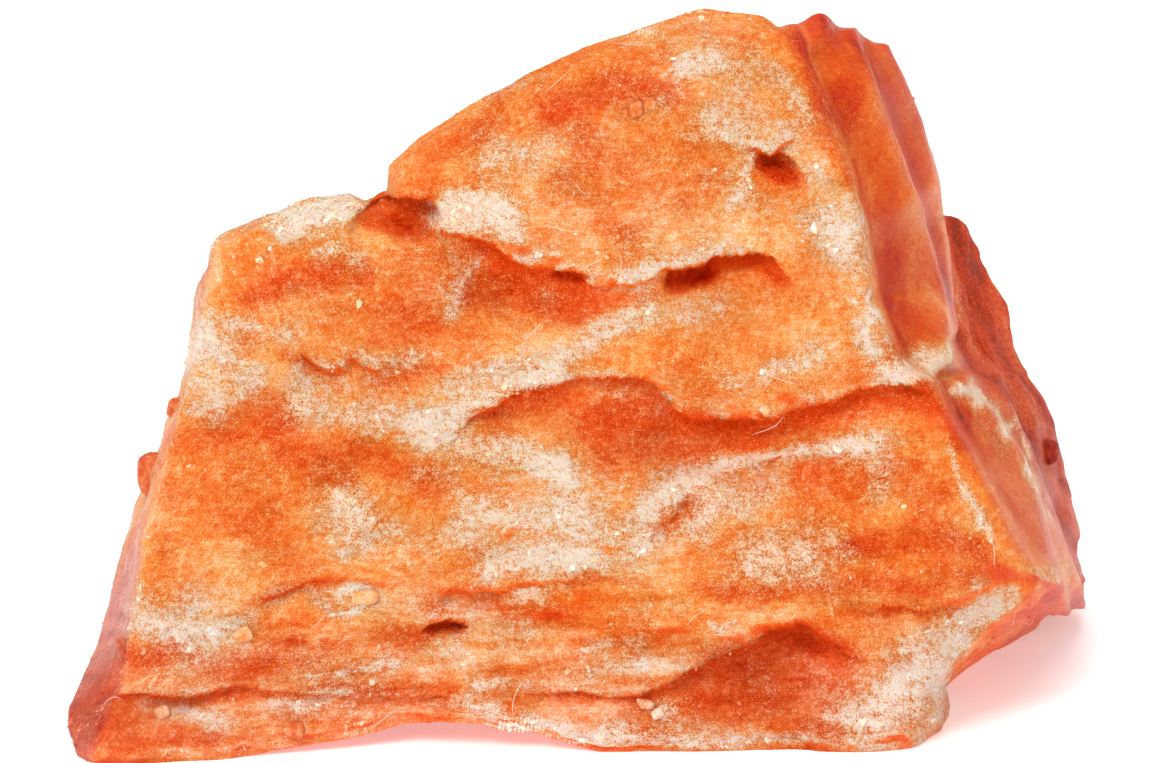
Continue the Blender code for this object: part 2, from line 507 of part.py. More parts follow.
def ring_faces(rings, columns):
    """Faces of a closed stack of rings, whose first and last points are the two poles."""
    corners = 1 + np.arange(rings * columns).reshape(rings, columns)
    beside = np.roll(corners, -1, axis=1)
    sides = np.stack((corners[:-1], corners[1:], beside[1:], beside[:-1]), axis=-1).reshape(-1, 4)
    first = np.stack((0 * corners[0], corners[0], beside[0]), axis=-1)
    last = np.stack((beside[-1], corners[-1], 0 * corners[-1] + rings * columns + 1), axis=-1)
    return first.tolist() + sides.tolist() + last.tolist()


def carve_stone():
    """Rings of points, from the middle of the front to that of the back, on the stone's surface."""
    turns = np.linspace(-math.pi, math.pi, ROUND_STEPS, endpoint=False)
    along = np.linspace(0.0, 1.0, LENGTH_STEPS + 2)[1:-1]
    ring_along, ring_turns = np.meshgrid(along, turns, indexing="ij")
    ring_along = np.concatenate(((0.0,), ring_along.ravel(), (1.0,)))
    ring_turns = np.concatenate(((0.0,), ring_turns.ravel(), (0.0,)))
    points = to_world(stone_points(ring_turns, ring_along)) * MM
    mesh = bpy.data.meshes.new("stone")
    mesh.from_pydata(points.tolist(), [], ring_faces(LENGTH_STEPS, ROUND_STEPS))
    return add_object("stone", mesh)


def make_ground():
    """The block under the floor that cuts the stone's underside flat."""
    shape = bmesh.new()
    side = GROUND_SIDE * MM
    bmesh.ops.create_cube(shape, size=side, matrix=Matrix.Translation((0.0, 0.0, -side / 2.0)))
    mesh = bpy.data.meshes.new("ground")
    shape.to_mesh(mesh)
    shape.free()
    return as_tool(add_object("ground", mesh))


def make_crumbs(stone):
    """Worn little blocks, each set where a line towards the stone first meets it."""
    surface = BVHTree.FromObject(stone, bpy.context.evaluated_depsgraph_get())
    shape = bmesh.new()
    for order, (start, way, length, height, thickness, turn) in enumerate(CRUMBS.values()):
        origin = Vector(to_world(np.array((start,)))[0]) * MM
        inward = Vector(to_world(np.array((way,)))[0])
        meeting = surface.ray_cast(origin, inward)[0]
        facing = inward.to_track_quat("-Z", "Y") @ Euler((0.0, 0.0, math.radians(turn))).to_quaternion()
        size = Matrix.Diagonal((length * MM, height * MM, thickness * MM, 1.0))
        middle = meeting + inward * thickness * CRUMB_SUNK * MM
        place = Matrix.LocRotScale(middle, facing, None) @ size
        corners = bmesh.ops.create_cube(shape, size=1.0)["verts"]
        cells = np.array([tuple(corner.co * 2.0) for corner in corners]).round().astype(np.int64)
        for axis in range(3):
            wear = 1.0 - CRUMB_WEAR * (1.0 + lattice(cells, 60 + 3 * order + axis))
            for corner, share in zip(corners, wear):
                corner.co[axis] *= share
        bmesh.ops.transform(shape, matrix=place, verts=corners)
    mesh = bpy.data.meshes.new("crumbs")
    shape.to_mesh(mesh)
    shape.free()
    return as_tool(add_object("crumbs", mesh))


def combine(stone, operation, tool):
    """Cut the tool from the stone, or fuse it on."""
    joining = stone.modifiers.new(tool.name, "BOOLEAN")
    joining.operation = operation
    joining.object = tool
    joining.solver = "EXACT"


def stone_material():
    """Orange stone, half matt."""
    material = bpy.data.materials.new("stone")
    material.use_nodes = True
    surface = material.node_tree.nodes["Principled BSDF"]
    surface.inputs["Base Color"].default_value = (0.80, 0.27, 0.07, 1.0)
    surface.inputs["Roughness"].default_value = 0.5
    surface.inputs["Metallic"].default_value = 0.0
    return material


def settle(stone):
    """Keep the finished shape as the stone's mesh, its box's bottom centre at the origin."""
    mesh = bpy.data.meshes.new_from_object(stone.evaluated_get(bpy.context.evaluated_depsgraph_get()))
    places = np.empty(len(mesh.vertices) * 3)
    mesh.vertices.foreach_get("co", places)
    places = places.reshape(-1, 3)
    low, high = places.min(axis=0), places.max(axis=0)
    mesh.transform(Matrix.Translation((-(low[0] + high[0]) / 2.0, -(low[1] + high[1]) / 2.0, -low[2])))
    mesh.materials.clear()
    mesh.materials.append(stone_material())
    stone.modifiers.clear()
    stone.data = mesh


def main():
    for old in list(bpy.data.objects):
        bpy.data.objects.remove(old)
    stone = carve_stone()
    plainer = stone.modifiers.new("plainer", "DECIMATE")
    plainer.ratio = KEPT_FACES
    combine(stone, "DIFFERENCE", make_ground())
    combine(stone, "UNION", make_crumbs(stone))
    settle(stone)


main()
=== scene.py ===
# %% [markdown]
# # A broken, layered stone
#
# The object is one lump of cloudy orange mineral, about 80 mm wide, that stands on its own flat
# underside.  Its front is a broad cleavage face that leans back a little.  Ledges, small caves
# and a slab that overhangs a hollow cross that face, the right-hand walls are smooth and waxy,
# and a sugary frost lies over much of the rest.
#
# A stone could be sculpted by hand, or grown from a ball by displacement textures.  Here it is
# worked out instead: every point of the surface is a function of two numbers, so the ledges can
# be put exactly where they belong, and the same numbers can be changed and run again.

import math

import bpy
import numpy as np
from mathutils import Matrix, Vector


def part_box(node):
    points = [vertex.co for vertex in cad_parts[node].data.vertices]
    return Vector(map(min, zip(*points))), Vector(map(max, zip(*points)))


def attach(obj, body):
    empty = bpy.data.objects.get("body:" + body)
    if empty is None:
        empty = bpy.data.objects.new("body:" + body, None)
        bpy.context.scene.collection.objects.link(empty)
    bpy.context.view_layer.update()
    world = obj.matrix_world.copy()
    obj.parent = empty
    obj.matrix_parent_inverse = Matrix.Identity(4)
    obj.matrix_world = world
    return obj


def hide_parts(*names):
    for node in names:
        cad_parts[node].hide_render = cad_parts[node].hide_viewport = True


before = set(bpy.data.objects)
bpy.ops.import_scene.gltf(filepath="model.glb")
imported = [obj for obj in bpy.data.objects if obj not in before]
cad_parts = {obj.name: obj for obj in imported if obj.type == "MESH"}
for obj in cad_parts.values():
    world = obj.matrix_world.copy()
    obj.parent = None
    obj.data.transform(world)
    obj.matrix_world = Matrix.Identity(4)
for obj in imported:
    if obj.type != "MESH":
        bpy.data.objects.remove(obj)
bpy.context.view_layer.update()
stone_low, stone_high = (np.array(corner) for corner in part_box("stone"))
print("the frame's stone measures, in mm:", ((stone_high - stone_low) * 1000.0).round(1))

# %% [markdown]
# ## A leaning sheet to draw on
#
# The front of the stone leans back, so it is awkward to place things on it in the world's X, Y
# and Z.  A sheet that leans with it is easier: *across* runs to the right, *up* runs up the
# sheet, and *out* stands square to it, all in millimetres.  One turn about X brings the sheet
# into the world.

# %% From the sheet to the world
MM = 0.001
LEAN = math.radians(15.5)


def to_world(points):
    """A turn by LEAN about X: back = up sin - out cos, height = up cos + out sin."""
    across, up, out = points.T
    back = up * math.sin(LEAN) - out * math.cos(LEAN)
    height = up * math.cos(LEAN) + out * math.sin(LEAN)
    return np.stack((across, back, height), axis=1)


# %% [markdown]
# ## Chance that can be repeated
#
# Broken stone is uneven at every size, which calls for noise.  Blender's noise textures colour
# a surface, but here the same noise must also move points, so it is written out with numpy:
# every corner of a cubic grid gets a number from its own whole-number address, and points in
# between blend the eight corners around them.  The same address always gives the same number,
# so the stone never changes from one run to the next.  Each use of it has a *seed* of its own,
# a number that is mixed into the address, so that no two of them look alike.

# %% Smooth steps and smooth noise
NOISE_STEPS = np.array((374761393, 668265263, 2246822519), dtype=np.int64)
SEED_STEP = 97531
STIR = 1274126177
LONG_MASK = 0xFFFFFFFF
SHORT_MASK = 0xFFFF


def ramp(value, low, high):
    """A smooth step, part squared times (3 - 2 part): 0 below low and 1 above high."""
    part = np.clip((value - low) / (high - low), 0.0, 1.0)
    return part * part * (3.0 - 2.0 * part)


def fading(distance, length):
    """1 up to a distance of 0, and beyond it an exponential of minus distance over length."""
    return np.exp(-np.clip(distance, 0.0, None) / length)


def lattice(cells, seed):
    """A number from -1 to 1 for each grid corner, stirred out of its three whole numbers."""
    key = (cells * NOISE_STEPS).sum(axis=-1) + seed * SEED_STEP
    key = ((key ^ (key >> 13)) & LONG_MASK) * STIR
    key = (key ^ (key >> 16)) & SHORT_MASK
    return key / (SHORT_MASK / 2.0) - 1.0


def noise(points, size, seed):
    """The eight corner numbers round each point, weighted by smooth steps along each axis."""
    scaled = points / np.asarray(size)
    cell = np.floor(scaled).astype(np.int64)
    part = scaled - cell
    part = part * part * (3.0 - 2.0 * part)
    total = np.zeros(len(points))
    for corner in np.ndindex(2, 2, 2):
        share = np.where(np.array(corner) == 1, part, 1.0 - part).prod(axis=-1)
        total += share * lattice(cell + np.array(corner), seed)
    return total


def waves(points, sizes, seed):
    """A sum of noises, one for each (distance apart, height)."""
    return sum(height * noise(points, apart, seed + order)
               for order, (apart, height) in enumerate(sizes))


# %% [markdown]
# ## Three lines round the stone
#
# The body is a loft, as a boat's hull is.  One closed line runs round the edge of the front
# face, one is the widest line round the stone, and one runs round the back.  Each point gives
# (across, up, out).  Few points are needed, because broken stone runs straight from corner to
# corner.

# %% The driving lines
HUB = np.array((0.0, 27.0))
FRONT_MIDDLE_OUT = 0.5
BACK_MIDDLE_OUT = -41.5

FRONT_EDGE = (
    (-37.4, -0.4, 3.2), (-37.7, 1.1, 3.2), (-37.3, 2.6, 2.6), (-36.4, 4.0, 2.0),
    (-35.3, 5.1, 1.0), (-35.2, 7.5, 0.4), (-34.3, 11.8, 0.0), (-34.1, 16.5, 0.0),
    (-32.9, 19.6, 0.0), (-31.8, 24.3, 0.0), (-30.0, 31.3, 0.0), (-29.2, 35.2, -0.2),
    (-28.2, 39.4, -1.2), (-25.8, 40.4, -1.2), (-21.9, 42.2, -1.5), (-18.4, 42.7, -1.6),
    (-17.4, 42.3, -2.5), (-15.3, 42.2, -2.5), (-14.2, 43.0, -1.5), (-14.1, 44.8, -1.0),
    (-12.1, 46.5, -1.0), (-8.6, 49.0, -1.0), (-4.4, 51.7, -1.2), (1.5, 54.0, -1.4),
    (9.3, 56.8, -2.0), (13.9, 56.3, -2.2), (15.9, 55.9, -2.6), (17.2, 53.7, -1.8),
    (18.6, 50.7, -0.8), (20.9, 44.5, 0.2), (21.9, 39.8, 0.5), (22.3, 35.2, 0.8),
    (25.2, 29.6, 0.4), (27.2, 28.9, -0.6), (29.1, 25.4, -0.6), (31.4, 21.2, -0.5),
    (34.7, 15.4, -1.4), (35.9, 13.4, -3.4), (35.2, 11.8, -5.4), (31.8, 9.4, -4.6),
    (29.2, 7.2, -3.0), (27.3, 5.4, -1.0), (26.6, 3.7, 0.4), (25.1, 1.5, 0.6),
    (17.8, 0.5, 1.0), (1.5, 0.5, 1.2),
    (-0.9, 1.3, 0.6), (-3.6, 2.3, 0.2), (-7.9, 2.9, 0.0), (-11.0, 3.1, 0.0),
    (-15.6, 2.3, 0.2), (-21.9, 1.3, 0.8), (-28.1, 0.2, 2.4), (-33.5, -0.4, 3.2),
)
OUTLINE = (
    (-40.0, 3.3, -3.0), (-39.8, 1.9, -1.0), (-38.8, 0.0, 1.0), (-37.8, -0.8, 2.5),
    (-33.5, -0.9, 3.4), (-28.5, -0.8, 2.6), (-25.8, -0.1, 1.5), (-21.9, 0.6, 0.4),
    (-17.2, 1.3, -0.5), (-14.1, 1.9, -0.8), (-11.0, 2.3, -0.8), (-7.9, 2.3, -0.8),
    (-5.9, 1.8, -0.6), (-3.2, 1.7, -0.4), (-1.5, 0.9, -0.1), (1.5, -0.1, 0.4),
    (9.3, -0.2, 0.6), (17.8, -0.4, 0.4), (23.3, 0.0, -0.4), (26.1, 0.5, -1.6),
    (27.7, 1.8, -5.0), (28.6, 3.7, -10.0), (28.3, 5.1, -13.0), (30.7, 6.8, -16.0),
    (34.2, 9.3, -16.5), (36.5, 10.7, -19.5), (39.0, 11.2, -34.0), (39.6, 12.0, -35.0),
    (40.1, 13.0, -33.0), (39.4, 14.6, -31.5), (39.3, 16.5, -31.0), (38.4, 19.8, -30.0),
    (37.0, 25.4, -29.5), (34.9, 30.3, -29.5), (33.1, 35.2, -30.0), (31.4, 38.3, -30.5),
    (30.4, 40.8, -29.5), (29.5, 41.9, -27.8), (28.2, 41.9, -23.5), (28.0, 43.0, -22.5),
    (28.2, 44.5, -22.0), (27.5, 46.8, -21.5), (26.4, 49.4, -20.5), (25.2, 53.1, -18.5),
    (23.9, 54.9, -16.5), (20.9, 56.2, -12.0), (19.5, 57.2, -9.5), (18.0, 57.3, -8.5),
    (16.3, 56.6, -7.0), (15.3, 56.3, -5.5), (14.1, 57.2, -4.5), (9.4, 57.7, -4.0),
    (5.4, 56.5, -3.6), (1.5, 55.1, -3.4), (-4.7, 52.4, -3.2), (-8.6, 50.0, -3.0),
    (-12.5, 47.5, -3.0), (-14.9, 45.4, -3.0), (-14.8, 43.7, -4.0), (-15.2, 42.8, -5.0),
    (-17.0, 42.8, -5.0), (-17.5, 43.4, -4.0), (-21.1, 43.1, -4.0), (-25.4, 41.1, -5.0),
    (-27.9, 39.9, -6.0), (-28.6, 38.9, -8.0), (-29.3, 36.3, -12.0), (-30.7, 30.1, -15.0),
    (-32.7, 23.9, -16.0), (-33.9, 20.4, -16.0), (-35.3, 16.5, -15.0), (-36.7, 12.2, -13.0),
    (-37.7, 8.7, -10.0), (-39.0, 5.6, -6.0),
)
BACK_EDGE = (
    (-31.1, 8.0, -37.0), (-31.6, 14.9, -36.0), (-30.8, 19.6, -35.0), (-29.3, 25.8, -32.0),
    (-27.7, 32.1, -27.0), (-25.4, 36.0, -22.0), (-19.5, 38.7, -21.0), (-14.1, 40.2, -22.0),
    (-10.2, 44.5, -23.0), (-1.6, 48.4, -25.0), (7.7, 50.7, -27.0), (16.3, 51.5, -28.0),
    (22.5, 50.0, -30.0), (26.0, 45.3, -32.0), (26.8, 40.6, -34.0), (29.5, 35.2, -36.0),
    (32.6, 27.4, -38.0), (35.7, 19.6, -39.5), (37.0, 11.5, -41.0), (32.6, 8.0, -42.0),
    (17.0, 7.6, -42.0), (1.5, 7.6, -42.0), (-14.1, 7.8, -41.0), (-25.8, 7.8, -39.0),
)


# %% [markdown]
# ## The loft
#
# Two numbers find any place on the surface: *turn*, the direction from the hub, and *along*,
# the way from the middle of the front (0) over the edge and the walls to the middle of the back
# (1).  Each line gives a reach and an out for every turn, and the loft runs straight from line
# to line.  On the front the out follows the ninth power of the share, so the face stays flat
# until close to its edge, and on the back it follows a gentler power, the other way round.

# %% Reach and out, line by line
FRONT_AT = 0.60
RIM_AT = 0.76
BACK_AT = 0.90
FLATNESS = 9.0
BACK_FLATNESS = 2.5
ROUNDING = 0.008
RIM_SPARE = 0.22
TURN_STEPS = 1440


# %% The lines as tables, and the runs between them
def ring_table(ring, turns, splits=12):
    """A closed line, cut finely, as its distance from the hub and its out at each turn."""
    corners = np.array(ring)
    following = np.roll(corners, -1, axis=0)
    shares = (np.arange(splits) / splits)[:, None]
    run = (corners[:, None] * (1.0 - shares) + following[:, None] * shares).reshape(-1, 3)
    side = run[:, :2] - HUB
    angles = np.arctan2(side[:, 1], side[:, 0])
    order = np.argsort(angles)
    reach = np.interp(turns, angles[order], np.hypot(*side.T)[order], period=2.0 * math.pi)
    out = np.interp(turns, angles[order], run[order, 2], period=2.0 * math.pi)
    return np.stack((reach, out), axis=1)


def loft(turns, along):
    """Straight runs between the two lines on either side of each point's place along."""
    table_turns = np.linspace(-math.pi, math.pi, TURN_STEPS, endpoint=False)
    knots = np.array((0.0, FRONT_AT, RIM_AT, BACK_AT, 1.0))
    front, rim, back = (ring_table(ring, table_turns) for ring in (FRONT_EDGE, OUTLINE, BACK_EDGE))
    rim += (RIM_SPARE, 0.0)
    start = np.tile((0.0, FRONT_MIDDLE_OUT), (TURN_STEPS, 1))
    end = np.tile((0.0, BACK_MIDDLE_OUT), (TURN_STEPS, 1))
    lines = np.stack((start, front, rim, back, end))
    place = (turns + math.pi) / (2.0 * math.pi) * TURN_STEPS
    low = np.floor(place).astype(int)
    part = (place - low)[:, None]
    section = np.clip(np.searchsorted(knots, along, side="right") - 1, 0, len(knots) - 2)
    share = ((along - knots[section]) / (knots[section + 1] - knots[section]))[:, None]
    out_share = np.where(section[:, None] == 0, share ** FLATNESS, share)
    behind = section[:, None] == len(knots) - 2
    out_share = np.where(behind, 1.0 - np.clip(1.0 - share, 0.0, None) ** BACK_FLATNESS, out_share)
    share = np.concatenate((share, out_share), axis=1)
    here, there = (lines[line, low % TURN_STEPS] * (1.0 - part)
                   + lines[line, (low + 1) % TURN_STEPS] * part for line in (section, section + 1))
    reach, out = (here * (1.0 - share) + there * share).T
    return np.stack((HUB[0] + reach * np.cos(turns), HUB[1] + reach * np.sin(turns), out), axis=1)


def rounded_loft(turns, along):
    """The mean of the loft at three near places along, which eases its edges."""
    return (2.0 * loft(turns, along) + loft(turns, along - ROUNDING)
            + loft(turns, along + ROUNDING)) / 4.0


# %% [markdown]
# ## Ledges
#
# The stone broke along layers, so its front is crossed by lips with a recess under each.  A lip
# is a row of (across, up, depth).  Below the lip the surface drops by the depth within half a
# millimetre, and then heals slowly, as an exponential.  The recess is also driven up behind the
# lip, which makes a true overhang with a shadow in it.  A lip follows its row with a slight
# waver, since nothing in a stone is drawn with a ruler.

# %% Where the lips run
LEDGES = {
    "crown": (4.5, (
        (-11.6, 40.2, 0.0), (-10.7, 40.2, 0.8), (-8.0, 39.9, 1.9), (-6.3, 38.9, 1.8), (-5.1, 38.1, 1.5),
        (-3.8, 37.6, 1.2), (-2.4, 37.8, 1.6), (-0.5, 37.4, 2.2), (0.5, 36.4, 1.6), (1.5, 36.1, 0.9),
        (5.0, 36.8, 0.8), (6.5, 37.4, 1.2), (8.5, 37.7, 2.2), (9.9, 37.9, 3.0), (11.4, 38.4, 3.4),
        (13.3, 38.6, 3.4), (14.9, 38.4, 2.8), (15.6, 37.7, 1.8), (16.3, 36.7, 0.8), (17.0, 36.3, 0.0),
    )),
    "tooth": (2.4, (
        (9.4, 46.7, 0.0), (10.4, 47.0, 0.3), (12.2, 46.8, 0.4), (13.4, 47.2, 1.0), (14.1, 46.8, 1.3),
        (14.8, 46.5, 1.4), (15.3, 46.9, 1.4), (16.1, 47.5, 1.0), (17.0, 48.1, 0.6), (17.5, 48.6, 0.0),
    )),
    "left plate": (2.6, (
        (-22.5, 31.8, 0.0), (-21.6, 30.8, 1.0), (-20.8, 30.1, 1.4), (-19.8, 29.6, 1.4),
        (-18.3, 29.8, 1.2), (-17.5, 30.7, 1.1), (-16.9, 29.9, 1.2), (-16.3, 29.7, 1.0),
        (-14.1, 30.3, 0.9), (-12.5, 30.7, 0.7), (-10.5, 30.7, 0.0),
    )),
    "middle": (5.5, (
        (-12.6, 23.2, 0.0), (-10.8, 24.2, 0.3), (-9.4, 24.8, 0.6), (-7.9, 26.2, 0.9), (-6.1, 27.5, 1.3),
        (-5.1, 28.0, 1.5), (-3.2, 28.4, 1.6), (0.3, 29.0, 1.8), (2.4, 29.1, 1.9), (4.6, 28.9, 2.0),
        (5.6, 28.4, 2.2), (6.6, 27.3, 2.5), (7.6, 26.4, 2.8), (9.4, 25.8, 3.0), (11.6, 25.7, 3.1),
        (14.1, 25.8, 2.9), (17.0, 26.5, 2.5), (19.5, 27.1, 2.2), (21.6, 27.9, 2.1), (25.0, 28.5, 1.8),
        (26.8, 28.1, 0.9), (28.4, 28.4, 0.0),
    )),
    "pale flap": (2.5, (
        (3.5, 16.3, 0.0), (4.6, 16.8, 0.4), (5.8, 17.4, 0.6), (6.8, 18.2, 0.8), (7.7, 19.5, 0.9),
        (8.6, 19.7, 0.6), (10.2, 19.8, 0.0),
    )),
    "long flap": (2.2, (
        (7.0, 20.2, 0.0), (8.6, 20.7, 0.5), (11.8, 21.5, 0.8), (14.7, 22.3, 0.9), (18.0, 23.0, 0.7),
        (21.6, 23.5, 0.4), (23.4, 23.6, 0.0),
    )),
    "flat lip": (1.8, (
        (-8.6, 12.5, 0.0), (-7.7, 12.5, 0.7), (-4.6, 12.8, 0.5), (-1.5, 13.2, 0.7), (-0.1, 13.4, 0.7),
        (1.9, 13.4, 0.5), (3.3, 13.2, 0.0),
    )),
    "left crack": (1.5, (
        (-26.8, 11.5, 0.0), (-24.8, 12.0, 0.5), (-23.1, 12.6, 0.8), (-21.7, 13.2, 0.9),
        (-19.1, 13.5, 0.9), (-17.2, 13.4, 0.7), (-15.3, 12.9, 0.3), (-14.1, 12.6, 0.0),
    )),
    "left sole": (3.2, (
        (-37.6, 4.9, 0.0), (-35.9, 4.6, 1.2), (-33.4, 4.2, 2.0), (-31.2, 4.2, 2.2), (-28.7, 4.7, 2.0),
        (-26.4, 5.1, 1.6), (-21.7, 4.8, 1.0), (-18.0, 4.7, 1.2), (-15.6, 4.4, 1.6), (-13.3, 4.1, 1.6),
        (-11.0, 4.3, 1.0), (-8.6, 4.0, 0.4), (-7.5, 4.0, 0.0),
    )),
    "slab": (6.5, (
        (-8.6, 4.6, 0.0), (-5.8, 4.7, 0.6), (-2.6, 4.4, 1.2), (2.3, 4.5, 1.6), (4.4, 4.4, 2.0),
        (5.8, 4.9, 2.0), (7.2, 5.3, 2.3), (8.3, 6.2, 2.6), (9.7, 6.8, 2.8), (11.8, 7.8, 3.2),
        (13.8, 8.6, 3.8), (15.6, 9.3, 4.2), (16.9, 9.5, 4.3), (17.8, 9.3, 4.0), (18.3, 8.5, 2.8),
        (19.5, 8.0, 1.8), (20.9, 7.5, 0.9), (23.3, 6.8, 0.0),
    )),
    "right sole": (2.2, (
        (8.5, 10.1, 0.0), (10.2, 10.7, 0.4), (12.5, 11.3, 0.6), (15.2, 11.8, 0.6), (19.7, 11.6, 0.7),
        (21.9, 11.2, 1.1), (24.2, 11.2, 1.3), (26.8, 11.2, 0.9), (29.0, 11.6, 0.0),
    )),
    "block foot": (3.0, (
        (26.8, 11.2, 0.0), (28.4, 11.5, 0.5), (30.4, 12.2, 0.9), (32.5, 13.0, 1.1), (34.5, 13.7, 1.0),
        (36.2, 13.8, 0.6), (37.6, 13.0, 0.0),
    )),
    "lump lip": (1.2, (
        (2.4, 3.6, 0.0), (3.6, 3.5, 0.4), (4.6, 3.3, 0.6), (5.4, 3.4, 0.4), (6.6, 3.7, 0.4),
        (8.6, 3.9, 0.0),
    )),
    "pale step": (2.0, (
        (4.6, 19.8, 0.0), (6.3, 20.2, 0.4), (9.3, 20.6, 0.4), (12.4, 21.3, 0.4), (14.7, 22.2, 0.4),
        (17.0, 22.7, 0.3), (19.4, 23.0, 0.0),
    )),
    "foot band": (1.2, (
        (-30.0, 1.6, 0.0), (-26.5, 1.8, 0.5), (-23.8, 2.5, 0.5), (-18.4, 3.1, 0.4), (-15.6, 3.0, 0.5),
        (-11.8, 3.1, 0.3), (-8.6, 3.0, 0.0),
    )),
}

LIP_EDGE = 0.5
LIP_ROUND = 0.8
LIP_ROLL = 0.25
UNDERCUT = 0.35
WAVER_ACROSS = ((1.7, 0.35),)
WAVER_UP = ((2.1, 0.30), (0.8, 0.12))
print(len(LEDGES), "ledges")


# %% The shape of one lip
LEAST_HEAL = 0.25


def wavering(points):
    """The places across and up, each moved a little by noise."""
    flat = points * (1.0, 1.0, 0.0)
    across = points[:, 0] + waves(flat, WAVER_ACROSS, seed=11)
    return across, points[:, 1] + waves(flat, WAVER_UP, seed=12)


def ledge(across, up, heal, lip):
    """Depth times a smooth step down, times an exponential of the distance below the lip."""
    run, height, depth = np.array(lip).T
    under = np.interp(across, run, height) - up
    share = np.interp(across, run, depth) / depth.max()
    reach = heal * (LEAST_HEAL + (1.0 - LEAST_HEAL) * share)
    depth = np.interp(across, run, depth, left=0.0, right=0.0)
    recess = ramp(under, 0.0, LIP_EDGE) * fading(under, reach)
    roll = LIP_ROLL * fading(-under, LIP_ROUND) * (under < 0.0)
    return np.stack((depth * np.maximum(recess, roll), UNDERCUT * depth * recess))


# %% [markdown]
# ## Steps, hollows and swells
#
# Three more forms shape the face.  A *step* is a ledge stood on end, for the walls on the
# right.  A *hollow* is an oval bowl with a steep upper rim: the caves and the notch are
# hollows.  A *swell* is a soft mound, a bell curve of the distance from its middle, and a dip
# is a swell with a negative height.

# %% Where they lie
STEPS = {
    "rear": (7.0, (
        (28.4, 43.2, 0.0), (28.2, 41.8, 3.5), (28.1, 38.5, 6.0), (28.4, 34.6, 6.5), (28.7, 31.3, 5.0),
        (28.9, 29.2, 2.5), (29.2, 27.2, 0.0),
    )),
    "side rib": (3.5, (
        (28.7, 28.6, 0.0), (29.6, 27.7, 1.6), (31.4, 26.5, 2.6), (32.8, 24.9, 3.0), (34.3, 22.3, 3.0),
        (35.6, 19.6, 2.6), (36.2, 17.3, 1.8), (36.5, 14.9, 0.8), (36.7, 13.4, 0.0),
    )),
}

HOLLOWS = {
    "notch": (-14.1, 41.2, 3.7, 2.0, -4.0, 3.2),
    "notch corner": (-16.4, 40.5, 1.6, 1.6, 20.0, 0.9),
    "cave mouth": (8.6, 36.6, 2.0, 1.0, 14.0, 3.8),
    "cave": (12.2, 37.5, 3.6, 1.0, 6.0, 2.4),
    "under crown": (-0.7, 36.8, 1.6, 0.6, -6.0, 2.0),
    "tooth hollow": (15.3, 45.4, 1.9, 1.0, -8.0, 1.5),
    "sole pit": (-10.6, 9.5, 1.8, 0.6, 0.0, 1.3),
    "plum dent": (-8.6, 11.5, 2.8, 1.1, 0.0, 0.6),
}

SWELLS = {
    "crown belly": (1.5, 44.5, 11.7, 6.2, 15.0, 1.6),
    "crown brow": (9.3, 51.5, 7.0, 3.9, 0.0, 0.5),
    "shoulder belly": (-24.2, 35.2, 7.0, 4.7, 0.0, 0.8),
    "scoop": (-5.9, 35.2, 5.2, 2.8, -5.0, -2.2),
    "cave apron": (12.8, 34.8, 5.8, 1.9, 0.0, -0.9),
    "bulge": (12.8, 29.3, 10.1, 3.1, 0.0, 1.6),
    "under bulge": (12.0, 23.8, 9.4, 2.3, 0.0, -1.1),
    "wing": (5.6, 24.4, 3.6, 2.6, 0.0, -0.8),
    "left belly": (-22.6, 19.6, 11.7, 6.2, 0.0, 1.2),
    "right belly": (24.0, 18.1, 7.8, 4.7, 0.0, 1.1),
    "middle dip": (-1.6, 8.7, 11.7, 2.8, 0.0, -0.8),
    "hollow floor": (15.1, 4.8, 6.2, 3.6, 20.0, -1.8),
    "right lump": (23.3, 4.0, 4.7, 2.6, 0.0, 0.8),
    "front lump": (5.4, 2.3, 8.6, 1.9, 0.0, 0.9),
    "foot lump": (-33.5, 0.8, 4.7, 1.7, 0.0, 1.0),
    "pale shelf": (-1.6, 18.1, 8.6, 3.1, 0.0, 0.6),
    "left step": (-19.5, 27.4, 9.3, 1.9, 5.0, -0.8),
    "valley": (-7.9, 24.3, 4.7, 1.7, 0.0, -0.6),
}
print(len(STEPS), "steps,", len(HOLLOWS), "hollows and", len(SWELLS), "swells")


# %% Their shapes
ROOF_WIDTH = 0.3
FLOOR_WIDTH = 0.7


def wall_step(across, up, heal, edge):
    """Depth times a smooth step, times an exponential of the distance beyond the edge."""
    run, height, depth = np.array(edge)[::-1].T
    beyond = across - np.interp(up, height, run)
    depth = np.interp(up, height, depth, left=0.0, right=0.0)
    return depth * ramp(beyond, 0.0, LIP_EDGE) * fading(beyond, heal)


def spot(across, up, shape):
    """Distance from an oval's middle, in half lengths and half heights, and the height alone."""
    middle_across, middle_up, half_length, half_height, tilt, _ = shape
    turn = math.radians(tilt)
    right = across - middle_across
    rise = up - middle_up
    length = (right * math.cos(turn) + rise * math.sin(turn)) / half_length
    height = (rise * math.cos(turn) - right * math.sin(turn)) / half_height
    return np.hypot(length, height), height


def hollow(across, up, shape):
    """Depth times a smooth step in from the rim, narrow above the middle and wide below it."""
    distance, height = spot(across, up, shape)
    width = np.where(height > 0.0, ROOF_WIDTH, FLOOR_WIDTH)
    depth = shape[-1] * ramp(1.0 - distance, 0.0, width)
    return np.stack((depth, UNDERCUT * depth))


def swell(across, up, shape):
    """Height times the exponential of minus the distance squared."""
    distance, _ = spot(across, up, shape)
    return shape[-1] * np.exp(-distance * distance)


# %% [markdown]
# ## Roughness, from lumps down to sugar
#
# Four kinds of roughness lie over the forms.  Long ribs and folds run down the right-hand
# walls.  Lumps, flattened along the layers, make the face uneven.  Flakes are terraces a sixth
# of a millimetre high: the height is noise that has been cut into steps, as a map is by its
# contour lines.  Sugar is the finest that the mesh can hold, and what is finer still is left to
# the material.

